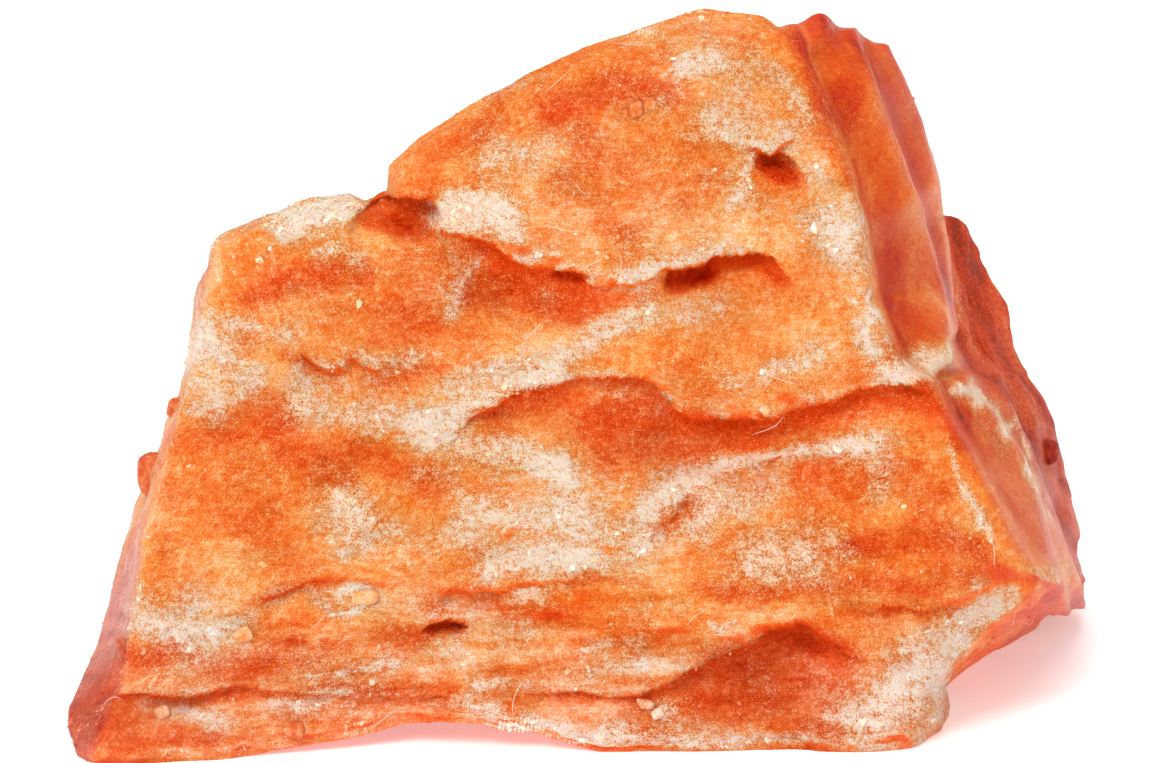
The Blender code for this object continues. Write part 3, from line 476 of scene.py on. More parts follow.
# %% Ribs, folds and lumps
WALL_FOOT = ((13.9, 35.6), (21.2, 31.4), (28.9, 27.2), (29.6, 25.2), (35.2, 22.3),
             (39.8, 21.9), (44.5, 20.9), (50.7, 18.6), (57.0, 15.6))
RIB_PITCH = 1.5
RIB_LENGTH = 16.0
RIB_HEIGHT = 0.45
RIB_START = (0.4, 1.6)
WALL_CALM = 0.6
FOLDS = {
    "crest fold": (0.8, 1.2, ((30.5, 27.2), (36.0, 26.8), (42.2, 25.2), (49.2, 22.5), (55.4, 20.8))),
    "crest valley": (0.9, -0.9, ((31.0, 25.6), (34.5, 24.7), (41.5, 23.4), (48.0, 21.3), (54.5, 18.6))),
    "crest rim": (0.7, 0.8, ((33.0, 28.3), (38.3, 28.1), (43.7, 27.5), (49.2, 26.0), (54.5, 23.7))),
    "pale rib": (0.7, 1.0, ((11.0, 37.4), (14.6, 36.1), (18.8, 34.8), (23.1, 33.4), (28.6, 29.3))),
    "block valley": (0.6, -0.7, ((14.0, 35.4), (16.1, 34.3), (20.4, 32.6), (24.3, 30.7), (28.6, 28.3))),
    "outer rib": (0.6, 0.7, ((11.2, 39.2), (14.9, 37.7), (18.8, 36.3), (23.1, 34.9), (28.4, 32.0))),
}
FOLD_END = 1.5
REAR_LINE = ((11.8, 39.0), (14.9, 38.2), (18.1, 36.7), (21.9, 35.4), (26.6, 33.1), (28.5, 30.8),
             (31.7, 28.6), (41.8, 28.1))
REAR_LUMPS = ((5.3, 0.5), (2.9, 0.35), (1.3, 0.22), (0.8, 0.12))
LUMPS = (((7.0, 3.8, 7.0), 0.36), ((2.6, 1.5, 2.6), 0.18))


# %% The shapes of ribs, folds and lumps
def beside(points, line):
    """How far each point lies to the right of a line of (up, across)."""
    return points[:, 0] - np.interp(points[:, 1], *np.array(line).T)


def fold(points, half_width, height, line):
    """Height times a bell curve of the distance beside the line, let down at both its ends."""
    aside = beside(points, line) / half_width
    low, high = line[0][0], line[-1][0]
    started = ramp(points[:, 1], low - FOLD_END, low)
    ended = ramp(points[:, 1], high, high + FOLD_END)
    return height * np.exp(-aside * aside) * (started * (1.0 - ended))


def wall_forms(points):
    """Ribs (noise stretched along the wall), folds and rear lumps, and how calm the rest is."""
    aside = beside(points, WALL_FOOT)
    lengthwise = np.stack((aside, points[:, 1], 0.0 * aside), axis=1)
    started = ramp(aside, *RIB_START)
    ribs = RIB_HEIGHT * noise(lengthwise, (RIB_PITCH, RIB_LENGTH, 1.0), seed=21) * started
    folds = sum(fold(points, *shape) for shape in FOLDS.values())
    rear = waves(points, REAR_LUMPS, seed=25) * ramp(beside(points, REAR_LINE), 0.0, 1.0)
    return ribs + folds + rear, 1.0 - WALL_CALM * started


def lumps(points):
    """Noise in two sizes, longer than it is high, so that it follows the layers."""
    return waves(points, LUMPS, seed=31)


# %% Flakes and sugar
FLAKE_SIZES = (((5.2, 2.0, 5.2), 1.0), ((2.0, 0.9, 2.0), 0.5))
FLAKE_STEPS = 3.5
FLAKE_HEIGHT = 0.16
FLAKE_RISE = (0.7, 1.0)
RIM_BELOW = (0.75, 1.0)
RIM_ABOVE = (0.8, 1.0)
SUGAR = ((0.9, 0.07), (0.5, 0.05))


def flake_levels(points):
    """Noise times the number of steps, as whole numbers and the parts beyond them."""
    level = FLAKE_STEPS * waves(points, FLAKE_SIZES, seed=51)
    return np.floor(level), level - np.floor(level)


def flakes(points):
    """Noise cut into steps: the whole number below it, plus a smooth step over the last part."""
    whole, part = flake_levels(points)
    return FLAKE_HEIGHT * (whole + ramp(part, *FLAKE_RISE))


def flake_rims(points):
    """A smooth step up to the edge between two levels, from below it and from above it."""
    _, part = flake_levels(points)
    return ramp(part, *RIM_BELOW) + ramp(1.0 - part, *RIM_ABOVE)


# %% [markdown]
# ## The whole surface
#
# On the front and the walls each point is moved up behind its lip and in or out by the sum of
# all the forms.  Round the back the stone shows its broken layers as sloping terraces, made as
# the flakes are but far larger.  What would lie below the floor is drawn towards the stone's
# middle until it lies on it, so the underside is flat.

# %% Relief on the front, terraces behind
CORE = np.array((HUB[0], HUB[1], -20.0))
LAYER = 7.5
LAYER_DIP = 0.12
LAYER_WAVES = (14.0, 2.2)
LAYER_DEPTH = (1.5, 1.1)
LAYER_BROW = (0.82, 0.92)
BACK_LUMPS = ((13.0, 1.6), (5.0, 0.8), (2.2, 0.3))
BACK_START = (RIM_AT, BACK_AT)
SIDE_START = (FRONT_AT, FRONT_AT + 0.05)
SIDE_CALM = 0.6


# %% The front's forms, added up
def front_forms(points, side):
    """The depth, lift and rise of all the forms at each point, from its wavering place."""
    across, up = wavering(points)
    sink, lift = sum(ledge(across, up, heal, lip) for heal, lip in LEDGES.values())
    sink, lift = (sink, lift) + sum(hollow(across, up, shape) for shape in HOLLOWS.values())
    sink += sum(wall_step(across, up, heal, edge) for heal, edge in STEPS.values())
    rise = sum(swell(across, up, shape) for shape in SWELLS.values())
    walls, calm = wall_forms(points)
    calm *= 1.0 - SIDE_CALM * side
    rise += walls + lumps(points) * calm
    return sink, lift, rise, calm


# %% Terraces, and the way out of the stone
def terraces(points):
    """Height in layers, cut into steps: each layer slopes out and then drops back at its brow."""
    layer = points[:, 1] + LAYER_DIP * points[:, 0] + waves(points, (LAYER_WAVES,), seed=41)
    layer /= LAYER
    part = layer - np.floor(layer)
    cell = np.stack((np.floor(layer), 0.0 * part, 0.0 * part), axis=1).astype(np.int64)
    usual, more = LAYER_DEPTH
    lip = (usual + more * lattice(cell, seed=42)) * (1.0 - ramp(part, *LAYER_BROW)) * part
    return lip + waves(points, BACK_LUMPS, seed=43)


def unit(ways):
    """Each direction divided by its own length."""
    return ways / np.linalg.norm(ways, axis=-1, keepdims=True)


def rising_way(points, side):
    """The way that relief rises: straight out in front, and away from the core elsewhere."""
    away = unit(points - CORE)
    return unit(away * side[:, None] + (0.0, 0.0, 1.0) * (1.0 - side)[:, None])


def on_floor(points):
    """Points below the floor slide towards the core by the share that brings them up to it."""
    core = to_world(CORE[None])[0]
    share = core[2] / np.maximum(core[2] - points[:, 2], core[2])
    return core + (points - core) * share[:, None]


# %% [markdown]
# ## The grid
#
# Rings that all have the same number of points would crowd at the middle of the front, and
# crowded, needle-thin faces show as streaks.  So the front is sampled on a square net instead,
# whose square rings are bent round to follow the edge: the rings near the middle have few
# points, and the faces stay about as wide as they are long.  The walls go on from the net's rim
# as plain rings, and a second net closes the back.

# %% A square net in front, rings round the walls, a net behind
NET = 180
WALL_RINGS = ((FRONT_AT, 3), (FRONT_AT + 0.01, 34), (RIM_AT, 0))
BACK_NET = ((0.0, 1.0), (0.45, BACK_AT), (1.0, RIM_AT))


def net_shares(count):
    """For each crossing of the net: its ring from 0 to 1, and its share of the way round."""
    line = np.linspace(-1.0, 1.0, count + 1)
    a, b = (grid.ravel() for grid in np.meshgrid(line, line, indexing="ij"))
    ring = np.maximum(np.maximum(abs(a), abs(b)), 1e-9)
    sides = (a >= ring, b >= ring, a <= -ring, b <= -ring)
    around = np.select(sides, (b + ring, 3.0 * ring - a, 5.0 * ring - b, 7.0 * ring + a))
    return ring, around / (8.0 * ring) % 1.0


def net_rim(count):
    """The numbers of the net's outer points, in their order round the rim."""
    step = np.arange(count)
    rows = np.concatenate((0 * step + count, count - step, 0 * step, step))
    columns = np.concatenate((step, 0 * step + count, count - step, 0 * step))
    return rows * (count + 1) + columns


def even_turns(shares):
    """The turns at given shares of the whole length of the front's edge."""
    turns = np.linspace(-math.pi, math.pi, TURN_STEPS + 1)
    reach = ring_table(FRONT_EDGE, turns)[:, 0]
    places = np.stack((reach * np.cos(turns), reach * np.sin(turns)), axis=1)
    run = np.concatenate(((0.0,), np.cumsum(np.hypot(*np.diff(places, axis=0).T))))
    return np.interp(shares, run / run[-1], turns)


# %% Rings between the nets, and faces over all of them
def ring_places(rings):
    """Places along, in straight runs of the given counts, without the first and the last."""
    runs = [np.linspace(start, following, count, endpoint=False)
            for (start, count), (following, _) in zip(rings[:-1], rings[1:])]
    return np.concatenate(runs)[1:]


def skin_faces(count, rings):
    """The front's squares, the bands between the two rims, and the back's squares, turned over."""
    crossing = np.arange((count + 1) ** 2).reshape(count + 1, count + 1)
    corners = (crossing[:-1, :-1], crossing[1:, :-1], crossing[1:, 1:], crossing[:-1, 1:])
    squares = np.stack(corners, axis=-1).reshape(-1, 4)
    loops = crossing.size + np.arange(rings * 4 * count).reshape(rings, 4 * count)
    behind_them = crossing.size + loops.size
    loops = np.concatenate((net_rim(count)[None], loops, behind_them + net_rim(count)[None]))
    beside_them = np.roll(loops, -1, axis=1)
    bands = np.stack((loops[:-1], loops[1:], beside_them[1:], beside_them[:-1]), axis=-1)
    return squares, bands.reshape(-1, 4), behind_them + squares[:, ::-1]


# %% The grid's two numbers at every point
net_ring, net_around = net_shares(NET)
along_rings = ring_places(WALL_RINGS)
ring_along, ring_around = np.meshgrid(along_rings, np.arange(4 * NET) / (4 * NET), indexing="ij")
back_along = np.interp(net_ring, *np.array(BACK_NET).T)
grid_along = np.concatenate((FRONT_AT * net_ring, ring_along.ravel(), back_along))
grid_turns = even_turns(np.concatenate((net_around, ring_around.ravel(), net_around)))
print((NET + 1) ** 2, "points in each net and", len(along_rings), "rings of", 4 * NET)

# %% The stone's points
plain = rounded_loft(grid_turns, grid_along)
behind = ramp(grid_along, *BACK_START)
side = ramp(grid_along, *SIDE_START)
sink, lift, rise, calm = front_forms(plain, side)
rise += (flakes(plain) + waves(plain, SUGAR, seed=61)) * calm
height = rise * (1.0 - behind) + terraces(plain) * behind
moved = np.stack((0.0 * lift, lift, -sink), axis=1) * (1.0 - behind)[:, None]
sheet = plain + moved + rising_way(plain, side) * height[:, None]
world = on_floor(to_world(sheet))
standing = world[world[:, 2] > 0.0]
standing_middle = (standing.min(axis=0) + standing.max(axis=0))[:2] / 2.0
shift = (stone_low[:2] + stone_high[:2]) / 2.0 / MM - standing_middle
world += (*shift, 0.0)
print("the surface measures, in mm:", (world.max(axis=0) - world.min(axis=0)).round(1))


# %% [markdown]
# ## Into a mesh
#
# `from_pydata` takes the points and faces as they are.  Everything the material needs to know
# about a place is kept on the mesh as an attribute, one number for each point.

# %% The mesh
def add_mesh(name, points, faces):
    """A new object at the origin that holds the points, in metres, and the faces."""
    mesh = bpy.data.meshes.new(name)
    mesh.from_pydata((points * MM).tolist(), [], [face for group in faces for face in group.tolist()])
    mesh.shade_smooth()
    made = bpy.data.objects.new(name, mesh)
    bpy.context.scene.collection.objects.link(made)
    return made


def keep_value(made, name, values):
    """Keep one number for each point of the mesh, for the material to read."""
    attribute = made.data.attributes.new(name, "FLOAT", "POINT")
    attribute.data.foreach_set("value", values.astype(np.float32))


stone = add_mesh("stone_surface", world, skin_faces(NET, len(along_rings)))
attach(stone, "root")
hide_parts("stone")
print(len(stone.data.polygons), "faces")

# %% [markdown]
# ## Where the frost, the cream and the embers lie
#
# The mineral isn't one colour.  Broken edges are frosted white, thin plates are the colour of
# cream, and where the light goes deep the stone glows like embers.  A texture can't know where
# those places are, so each is brushed on: a soft stroke with a width, a strength and a path of
# (across, up).  Noise tears the edges of the strokes.  A last table holds the few dark places
# that no light reaches, and their edges stay smooth.

# %% White, sugary frost, with a few painted highlights
# A few strokes here are painted highlights laid in with the frost: the two thin, bright streaks down the
# front-right edges of the upper and lower blocks, and the glints.
FROST = {
    "crest patch": (1.2, 0.75, ((7.7, 53.4), (9.7, 53.2))),
    "upper fringe": (0.8, 0.5, ((10.2, 54.3), (11.8, 53.4))),
    "edge glints": (0.7, 0.65, ((13.7, 54.5), (14.6, 53.5), (15.5, 52.5))),
    "plate rim": (0.5, 0.6, ((16.4, 51.4), (17.5, 50.3), (18.0, 49.3))),
    "plate foot": (0.6, 0.6, ((10.0, 48.6), (12.4, 47.6), (14.7, 46.8), (15.9, 46.7))),
    "tooth side": (0.7, 0.75, ((13.7, 46.2), (13.3, 44.9), (12.5, 43.3))),
    "crown oval": (1.7, 0.5, ((-5.9, 46.7), (-3.8, 46.1))),
    "oval foot": (1.1, 0.35, ((-5.9, 44.7), (-7.1, 45.7))),
    "crown block": (1.4, 0.95, ((-9.6, 42.0), (-8.0, 42.3), (-6.7, 41.9))),
    "block foot": (0.7, 0.6, ((-6.3, 40.8), (-4.7, 39.5), (-2.8, 38.6))),
    "lip left": (0.5, 0.55, ((-2.8, 38.4), (-0.9, 37.5), (1.5, 36.7))),
    "lip middle": (0.5, 0.8, ((2.4, 36.7), (4.6, 37.0), (6.5, 37.5))),
    "lip right": (0.5, 0.5, ((7.7, 38.1), (10.0, 38.6), (12.4, 38.9))),
    "crown corner": (0.9, 0.85, ((20.0, 40.2), (20.9, 39.1))),
    "corner haze": (1.6, 0.45, ((18.2, 41.8), (20.5, 40.6))),
    "edge highlight": (0.3, 0.95, ((21.9, 35.8), (22.2, 33.8), (22.5, 32.4))),
    "corner foot": (0.5, 0.85, ((21.9, 32.1), (23.1, 31.3))),
    "bulge crest": (0.9, 0.55, ((8.6, 33.5), (10.8, 34.2))),
    "bulge side": (0.9, 0.8, ((14.7, 29.4), (16.7, 30.0), (18.2, 30.7))),
    "bulge low": (0.8, 0.5, ((11.0, 29.1), (12.5, 28.5))),
    "pale corner": (1.0, 0.55, ((24.7, 29.6), (26.2, 30.3), (27.2, 31.3))),
    "scoop rim": (0.7, 0.6, ((-8.0, 38.1), (-9.3, 36.9), (-9.8, 35.2), (-10.0, 34.2))),
    "scoop glint": (0.5, 0.5, ((-2.6, 35.5), (-1.2, 35.2))),
    "cave apron": (0.7, 0.6, ((1.5, 33.2), (3.4, 33.8), (5.2, 34.6))),
    "cave floor": (0.5, 0.5, ((4.6, 36.1), (6.8, 36.4))),
    "shoulder plate": (1.2, 0.98, ((-22.8, 41.1), (-20.7, 42.0), (-18.4, 42.5))),
    "shoulder fringe": (0.6, 0.6, ((-20.3, 38.9), (-18.4, 39.1), (-17.0, 38.4))),
    "left corner": (1.2, 0.9, ((-30.0, 31.1), (-28.7, 31.6), (-27.6, 31.1))),
    "left haze": (1.6, 0.4, ((-29.3, 33.2), (-26.5, 31.7))),
    "left glints": (0.6, 0.6, ((-26.8, 33.5), (-24.8, 32.8), (-22.5, 32.4))),
    "plate chips": (0.6, 0.85, ((-16.3, 29.1), (-14.5, 29.6), (-12.9, 30.3))),
    "plate chips low": (0.6, 0.7, ((-21.1, 28.8), (-19.7, 28.5), (-18.4, 28.5))),
    "plate lip": (0.4, 0.6, (
        (-21.9, 30.0), (-20.3, 29.9), (-18.0, 30.3), (-14.1, 30.8), (-11.0, 31.3))),
    "left break": (0.7, 0.55, ((-30.6, 26.8), (-28.5, 27.1), (-26.5, 27.5), (-25.3, 28.3))),
    "left break low": (0.5, 0.5, ((-30.4, 28.9), (-27.7, 29.3), (-24.8, 29.6))),
    "belt": (1.1, 0.5, ((-21.9, 27.2), (-18.8, 26.2), (-15.3, 25.5))),
    "diagonal": (1.0, 0.95, (
        (-12.1, 25.5), (-10.2, 25.1), (-8.0, 26.8), (-5.9, 27.8), (-4.0, 28.6), (-1.9, 29.6))),
    "diagonal head": (0.8, 0.6, ((-1.6, 30.3), (0.7, 31.7), (3.0, 32.8), (5.4, 33.8))),
    "diagonal rim": (0.8, 0.5, ((-11.0, 28.6), (-7.9, 29.6), (-4.7, 30.3))),
    "under lip": (0.9, 0.75, ((1.3, 28.0), (3.2, 28.2), (5.0, 27.4), (5.8, 26.8))),
    "heart": (1.2, 0.98, ((-5.7, 23.7), (-4.0, 23.0), (-1.6, 22.3))),
    "heart tail": (0.8, 0.8, ((-11.0, 24.3), (-8.6, 23.7), (-6.3, 23.5))),
    "heart foot": (0.7, 0.7, ((-1.6, 22.1), (-0.7, 21.3))),
    "streak head": (0.7, 0.9, ((4.6, 18.7), (5.8, 19.6), (6.8, 20.1))),
    "streak": (0.5, 0.98, (
        (5.8, 19.6), (8.5, 20.7), (10.8, 21.5), (13.3, 21.9), (17.2, 22.9), (20.5, 23.6))),
    "streak end": (0.9, 0.7, ((20.9, 23.5), (22.6, 24.0), (24.0, 24.3))),
    "belly chips": (1.0, 0.6, ((22.6, 23.0), (23.9, 21.9), (24.0, 20.0))),
    "belly patch": (1.2, 0.8, ((13.0, 14.8), (14.6, 15.3), (16.4, 15.7), (17.5, 14.8))),
    "belly patch 2": (0.6, 0.85, ((19.5, 16.8), (20.3, 16.1), (21.2, 15.3))),
    "belly haze": (1.6, 0.4, ((15.5, 13.8), (19.4, 14.0))),
    "knee highlight": (0.3, 0.98, ((28.4, 23.5), (28.9, 22.3), (29.6, 20.5), (30.6, 18.7), (31.8, 16.6))),
    "wall band": (0.7, 0.9, ((29.0, 28.3), (30.3, 27.2), (31.4, 26.5), (32.6, 25.1))),
    "wall band low": (0.5, 0.75, ((32.6, 25.1), (33.7, 23.3), (34.6, 21.2), (35.6, 18.5))),
    "wall corner": (0.7, 0.7, ((25.2, 28.3), (26.5, 29.4), (27.8, 30.3))),
    "sole corner": (1.0, 0.7, ((31.8, 11.8), (33.5, 12.5), (35.7, 12.9))),
    "sole corner low": (0.8, 0.5, ((28.7, 11.5), (31.4, 10.9), (33.8, 11.5))),
    "sole wall": (0.8, 0.5, ((27.2, 9.3), (29.9, 10.1), (32.2, 10.6))),
    "lump face": (1.7, 0.85, ((27.2, 6.2), (25.4, 4.8), (23.6, 3.1))),
    "lump rim": (0.8, 0.7, ((25.2, 8.1), (27.5, 7.5), (29.9, 8.7))),
    "lump low": (0.8, 0.5, ((18.6, 2.8), (20.5, 3.0), (21.9, 2.3))),
    "prongs": (0.4, 0.9, ((5.8, 3.0), (6.5, 2.3), (7.1, 2.8))),
    "slab glints": (0.4, 0.6, ((-0.3, 7.9), (1.5, 8.1), (2.9, 8.4))),
    "slab nick": (0.2, 0.85, ((10.1, 9.5), (11.0, 9.6), (11.4, 10.0))),
    "slab chips": (0.5, 0.5, ((0.7, 6.2), (3.0, 6.5), (4.6, 7.2))),
    "left patch": (1.2, 0.85, ((-19.1, 19.8), (-17.8, 18.8), (-16.6, 17.9))),
    "left patch tail": (1.1, 0.55, ((-18.0, 17.3), (-14.1, 16.7), (-9.0, 16.7))),
    "left patch rim": (0.8, 0.5, ((-15.6, 16.9), (-16.0, 15.7), (-18.0, 15.6))),
    "shelf": (1.0, 0.75, ((-7.1, 14.5), (-4.7, 14.9), (-1.6, 14.8), (1.5, 14.9))),
    "shelf head": (1.2, 0.55, ((-8.6, 18.1), (-5.5, 18.7), (-3.2, 18.1))),
    "shelf glint": (0.5, 0.9, ((-5.2, 12.1), (-4.3, 12.3), (-3.4, 12.0))),
    "shelf chip": (0.2, 0.95, ((-1.6, 13.0), (-1.0, 12.5))),
    "crack chip": (0.5, 0.95, ((-18.3, 12.6), (-17.2, 12.8), (-16.1, 12.5))),
    "crack arc": (0.3, 0.9, ((-20.2, 11.8), (-19.1, 11.1), (-17.6, 10.7), (-16.0, 11.2))),
    "crack rim": (0.5, 0.5, ((-24.2, 11.5), (-21.9, 12.3), (-19.5, 12.6))),
    "foot chips": (0.9, 0.85, ((-33.9, 10.1), (-32.4, 9.8), (-31.2, 9.2))),
    "foot chips 2": (0.7, 0.75, ((-29.6, 9.3), (-27.9, 9.5), (-26.7, 10.1))),
    "foot haze": (1.6, 0.35, ((-33.5, 12.6), (-29.6, 11.8))),
    "sole streak": (0.4, 0.7, ((-19.1, 6.2), (-16.8, 6.5), (-14.1, 7.2))),
    "sole streak 2": (0.3, 0.6, ((-8.8, 4.5), (-8.0, 5.1), (-6.9, 5.4))),
    "band left": (0.7, 0.75, ((-33.2, 3.6), (-31.4, 3.0), (-29.3, 2.2), (-27.9, 1.9))),
    "band middle": (0.5, 0.65, ((-24.2, 3.6), (-21.9, 3.4), (-19.5, 3.9), (-17.8, 4.2))),
    "band white": (0.3, 0.85, ((-11.8, 3.6), (-9.4, 3.6), (-6.6, 3.7))),
    "toe": (0.9, 0.8, ((-7.9, 2.6), (-5.5, 2.3), (-2.8, 1.7), (-0.1, 0.8), (2.3, 0.4))),
    "toe haze": (0.9, 0.45, ((3.0, 1.3), (7.7, 1.1), (12.4, 0.8))),
    "toe long": (0.4, 0.4, ((3.0, 0.5), (9.3, 0.4), (17.0, 0.5), (24.8, 0.8))),
    "plum chips": (0.5, 0.6, ((-7.9, 4.8), (-6.3, 5.3), (-4.7, 4.8))),
    "middle chips": (0.5, 0.5, ((0.4, 8.7), (1.5, 8.4), (4.6, 8.7))),
    "top rim left": (0.5, 0.3, ((-27.7, 39.8), (-25.0, 41.0), (-21.9, 42.6))),
    "crown rim": (0.4, 0.25, ((-14.1, 46.1), (-6.3, 51.1), (1.5, 55.0), (9.3, 57.1))),
    "flap rim": (0.4, 0.55, ((4.6, 16.1), (7.3, 16.9), (9.3, 18.1))),
    "flap": (1.1, 0.35, ((9.3, 18.8), (12.4, 19.6), (14.7, 20.4))),
    "pale middle": (1.4, 0.45, ((-1.6, 18.1), (2.3, 17.4), (4.6, 16.5))),
    "ember chips": (0.6, 0.45, ((-12.5, 21.9), (-10.2, 21.2), (-8.6, 19.6))),
}
print(len(FROST), "strokes of frost")

# %% Pale cream
CREAM = {
    "slab left": (1.6, 0.7, ((-3.0, 3.2), (3.0, 2.6), (8.0, 2.6))),
    "slab base": (1.2, 0.7, ((8.0, 1.5), (15.0, 1.2), (21.0, 1.6))),
    "slab right": (1.6, 0.6, ((19.0, 5.5), (22.0, 7.5), (25.5, 9.5))),
    "foot streak": (1.5, 0.7, ((-31.0, 7.0), (-24.0, 8.2), (-16.0, 8.0), (-9.0, 7.2))),
    "low veil": (1.8, 0.6, ((-29.0, 11.5), (-21.0, 12.0), (-12.0, 11.0), (-3.0, 9.0))),
    "face veil": (2.6, 0.4, ((-8.0, 20.5), (-2.0, 19.0), (4.0, 15.5), (9.0, 13.5))),
    "crown foot": (2.6, 0.6, ((-1.6, 41.0), (4.6, 39.8), (10.8, 40.2), (17.0, 41.0), (20.9, 39.8))),
    "crown side": (1.6, 0.75, ((17.0, 45.7), (19.8, 44.1), (20.9, 40.6), (21.9, 36.0), (22.6, 32.5))),
    "crown plate": (1.9, 0.95, ((11.0, 50.1), (13.5, 48.7), (16.3, 47.8), (17.0, 46.7))),
    "crown plate head": (1.7, 0.7, ((8.5, 53.9), (11.6, 54.0), (13.9, 52.3), (16.3, 50.7))),
    "crown top": (1.2, 0.35, ((4.6, 55.4), (9.3, 56.3), (13.9, 55.8))),
    "crown oval": (1.9, 0.6, ((-6.3, 46.8), (-3.6, 46.1), (-4.7, 44.1))),
    "crown block": (1.7, 0.95, ((-9.8, 41.8), (-6.7, 41.8), (-5.5, 40.2))),
    "lip": (1.1, 0.75, (
        (-5.9, 39.8), (-2.8, 38.1), (1.5, 36.7), (5.4, 37.1), (9.3, 38.1), (12.8, 39.1))),
    "left rim": (1.4, 0.6, ((-27.9, 39.1), (-28.7, 35.2), (-29.6, 31.7))),
    "shoulder": (1.7, 0.6, ((-22.6, 41.2), (-18.8, 42.0), (-15.6, 39.1))),
    "belt": (2.0, 0.75, ((-30.0, 30.3), (-25.8, 28.9), (-21.1, 27.4), (-16.4, 26.2), (-11.8, 25.1))),
    "belt tail": (2.0, 0.6, ((-11.8, 25.1), (-6.3, 22.7), (-1.6, 21.2), (3.0, 19.6))),
    "diagonal": (1.6, 0.8, ((-11.8, 26.2), (-7.9, 28.2), (-2.4, 31.3), (3.0, 33.2), (8.5, 35.0))),
    "bulge haze": (1.9, 0.45, ((8.5, 33.6), (12.4, 34.4), (17.0, 32.8), (19.4, 31.3))),
    "bulge brim": (0.7, 0.6, ((8.5, 26.5), (11.6, 26.0), (16.3, 27.0), (20.9, 28.2))),
    "middle brim": (0.5, 0.8, ((-6.3, 28.6), (-1.6, 29.3), (3.0, 29.3), (6.1, 28.3))),
    "pale corner": (1.3, 0.8, ((24.0, 28.8), (26.0, 29.6), (27.8, 31.1))),
    "shelf": (1.9, 0.95, ((-6.3, 15.7), (-3.2, 15.3), (1.5, 15.3), (4.6, 14.9))),
    "centre": (2.3, 0.75, ((-7.9, 18.8), (-3.2, 19.2), (1.5, 18.8), (5.4, 19.6), (9.3, 20.5))),
    "flap": (1.7, 0.6, ((5.4, 16.5), (9.3, 18.1), (12.4, 19.2), (15.1, 20.4))),
    "flap brim": (0.7, 0.8, ((5.8, 14.9), (8.5, 16.1), (10.8, 17.7), (13.2, 18.7))),
    "streak": (1.0, 0.7, ((5.4, 19.2), (9.3, 20.9), (17.0, 22.7), (21.7, 23.7))),
    "left field": (1.2, 0.35, ((-31.2, 14.9), (-25.0, 14.9), (-18.8, 15.7), (-12.5, 14.9))),
    "crack": (1.7, 0.6, ((-25.8, 12.0), (-21.9, 11.8), (-17.2, 11.4), (-12.5, 12.6))),
    "foot edge": (1.2, 0.5, ((-33.9, 11.1), (-31.2, 9.9), (-26.5, 9.9))),
    "wedge": (1.7, 0.45, ((-21.9, 6.8), (-16.4, 8.3), (-11.0, 7.9), (-4.7, 8.7))),
    "slab": (1.6, 0.65, ((-3.2, 5.6), (1.5, 6.2), (6.1, 6.8), (10.8, 8.7), (15.5, 9.6))),
    "sole": (1.2, 0.6, ((18.6, 8.7), (22.5, 9.6), (27.9, 9.3), (32.6, 11.1))),
    "lump": (2.3, 0.8, ((29.5, 7.9), (26.4, 6.4), (24.0, 4.0), (20.9, 2.1))),
    "lump edge": (1.1, 0.7, ((27.9, 4.8), (27.8, 2.9), (26.4, 1.1))),
    "band": (1.1, 0.6, ((-33.5, 3.4), (-28.9, 2.3), (-23.4, 2.9), (-17.2, 3.9), (-12.5, 3.7))),
    "toe": (1.1, 0.9, ((-8.6, 3.0), (-4.0, 2.2), (1.5, 0.8))),
    "toe long": (0.6, 0.6, ((1.5, 0.6), (9.3, 0.3), (21.7, 0.5), (26.0, 1.1))),
    "sole edge": (0.9, 0.6, ((31.4, 12.6), (34.2, 13.0), (36.5, 13.8))),
    "notch rim": (0.6, 0.6, ((-18.0, 42.6), (-17.5, 41.0), (-16.4, 39.8))),
    "left lower rim": (0.9, 0.45, ((-32.4, 25.8), (-33.2, 21.2), (-34.3, 14.9), (-35.1, 11.8))),
    "tooth foot": (0.8, 0.8, ((16.3, 46.8), (18.2, 46.1), (19.8, 44.9))),
}
print(len(CREAM), "strokes of cream")

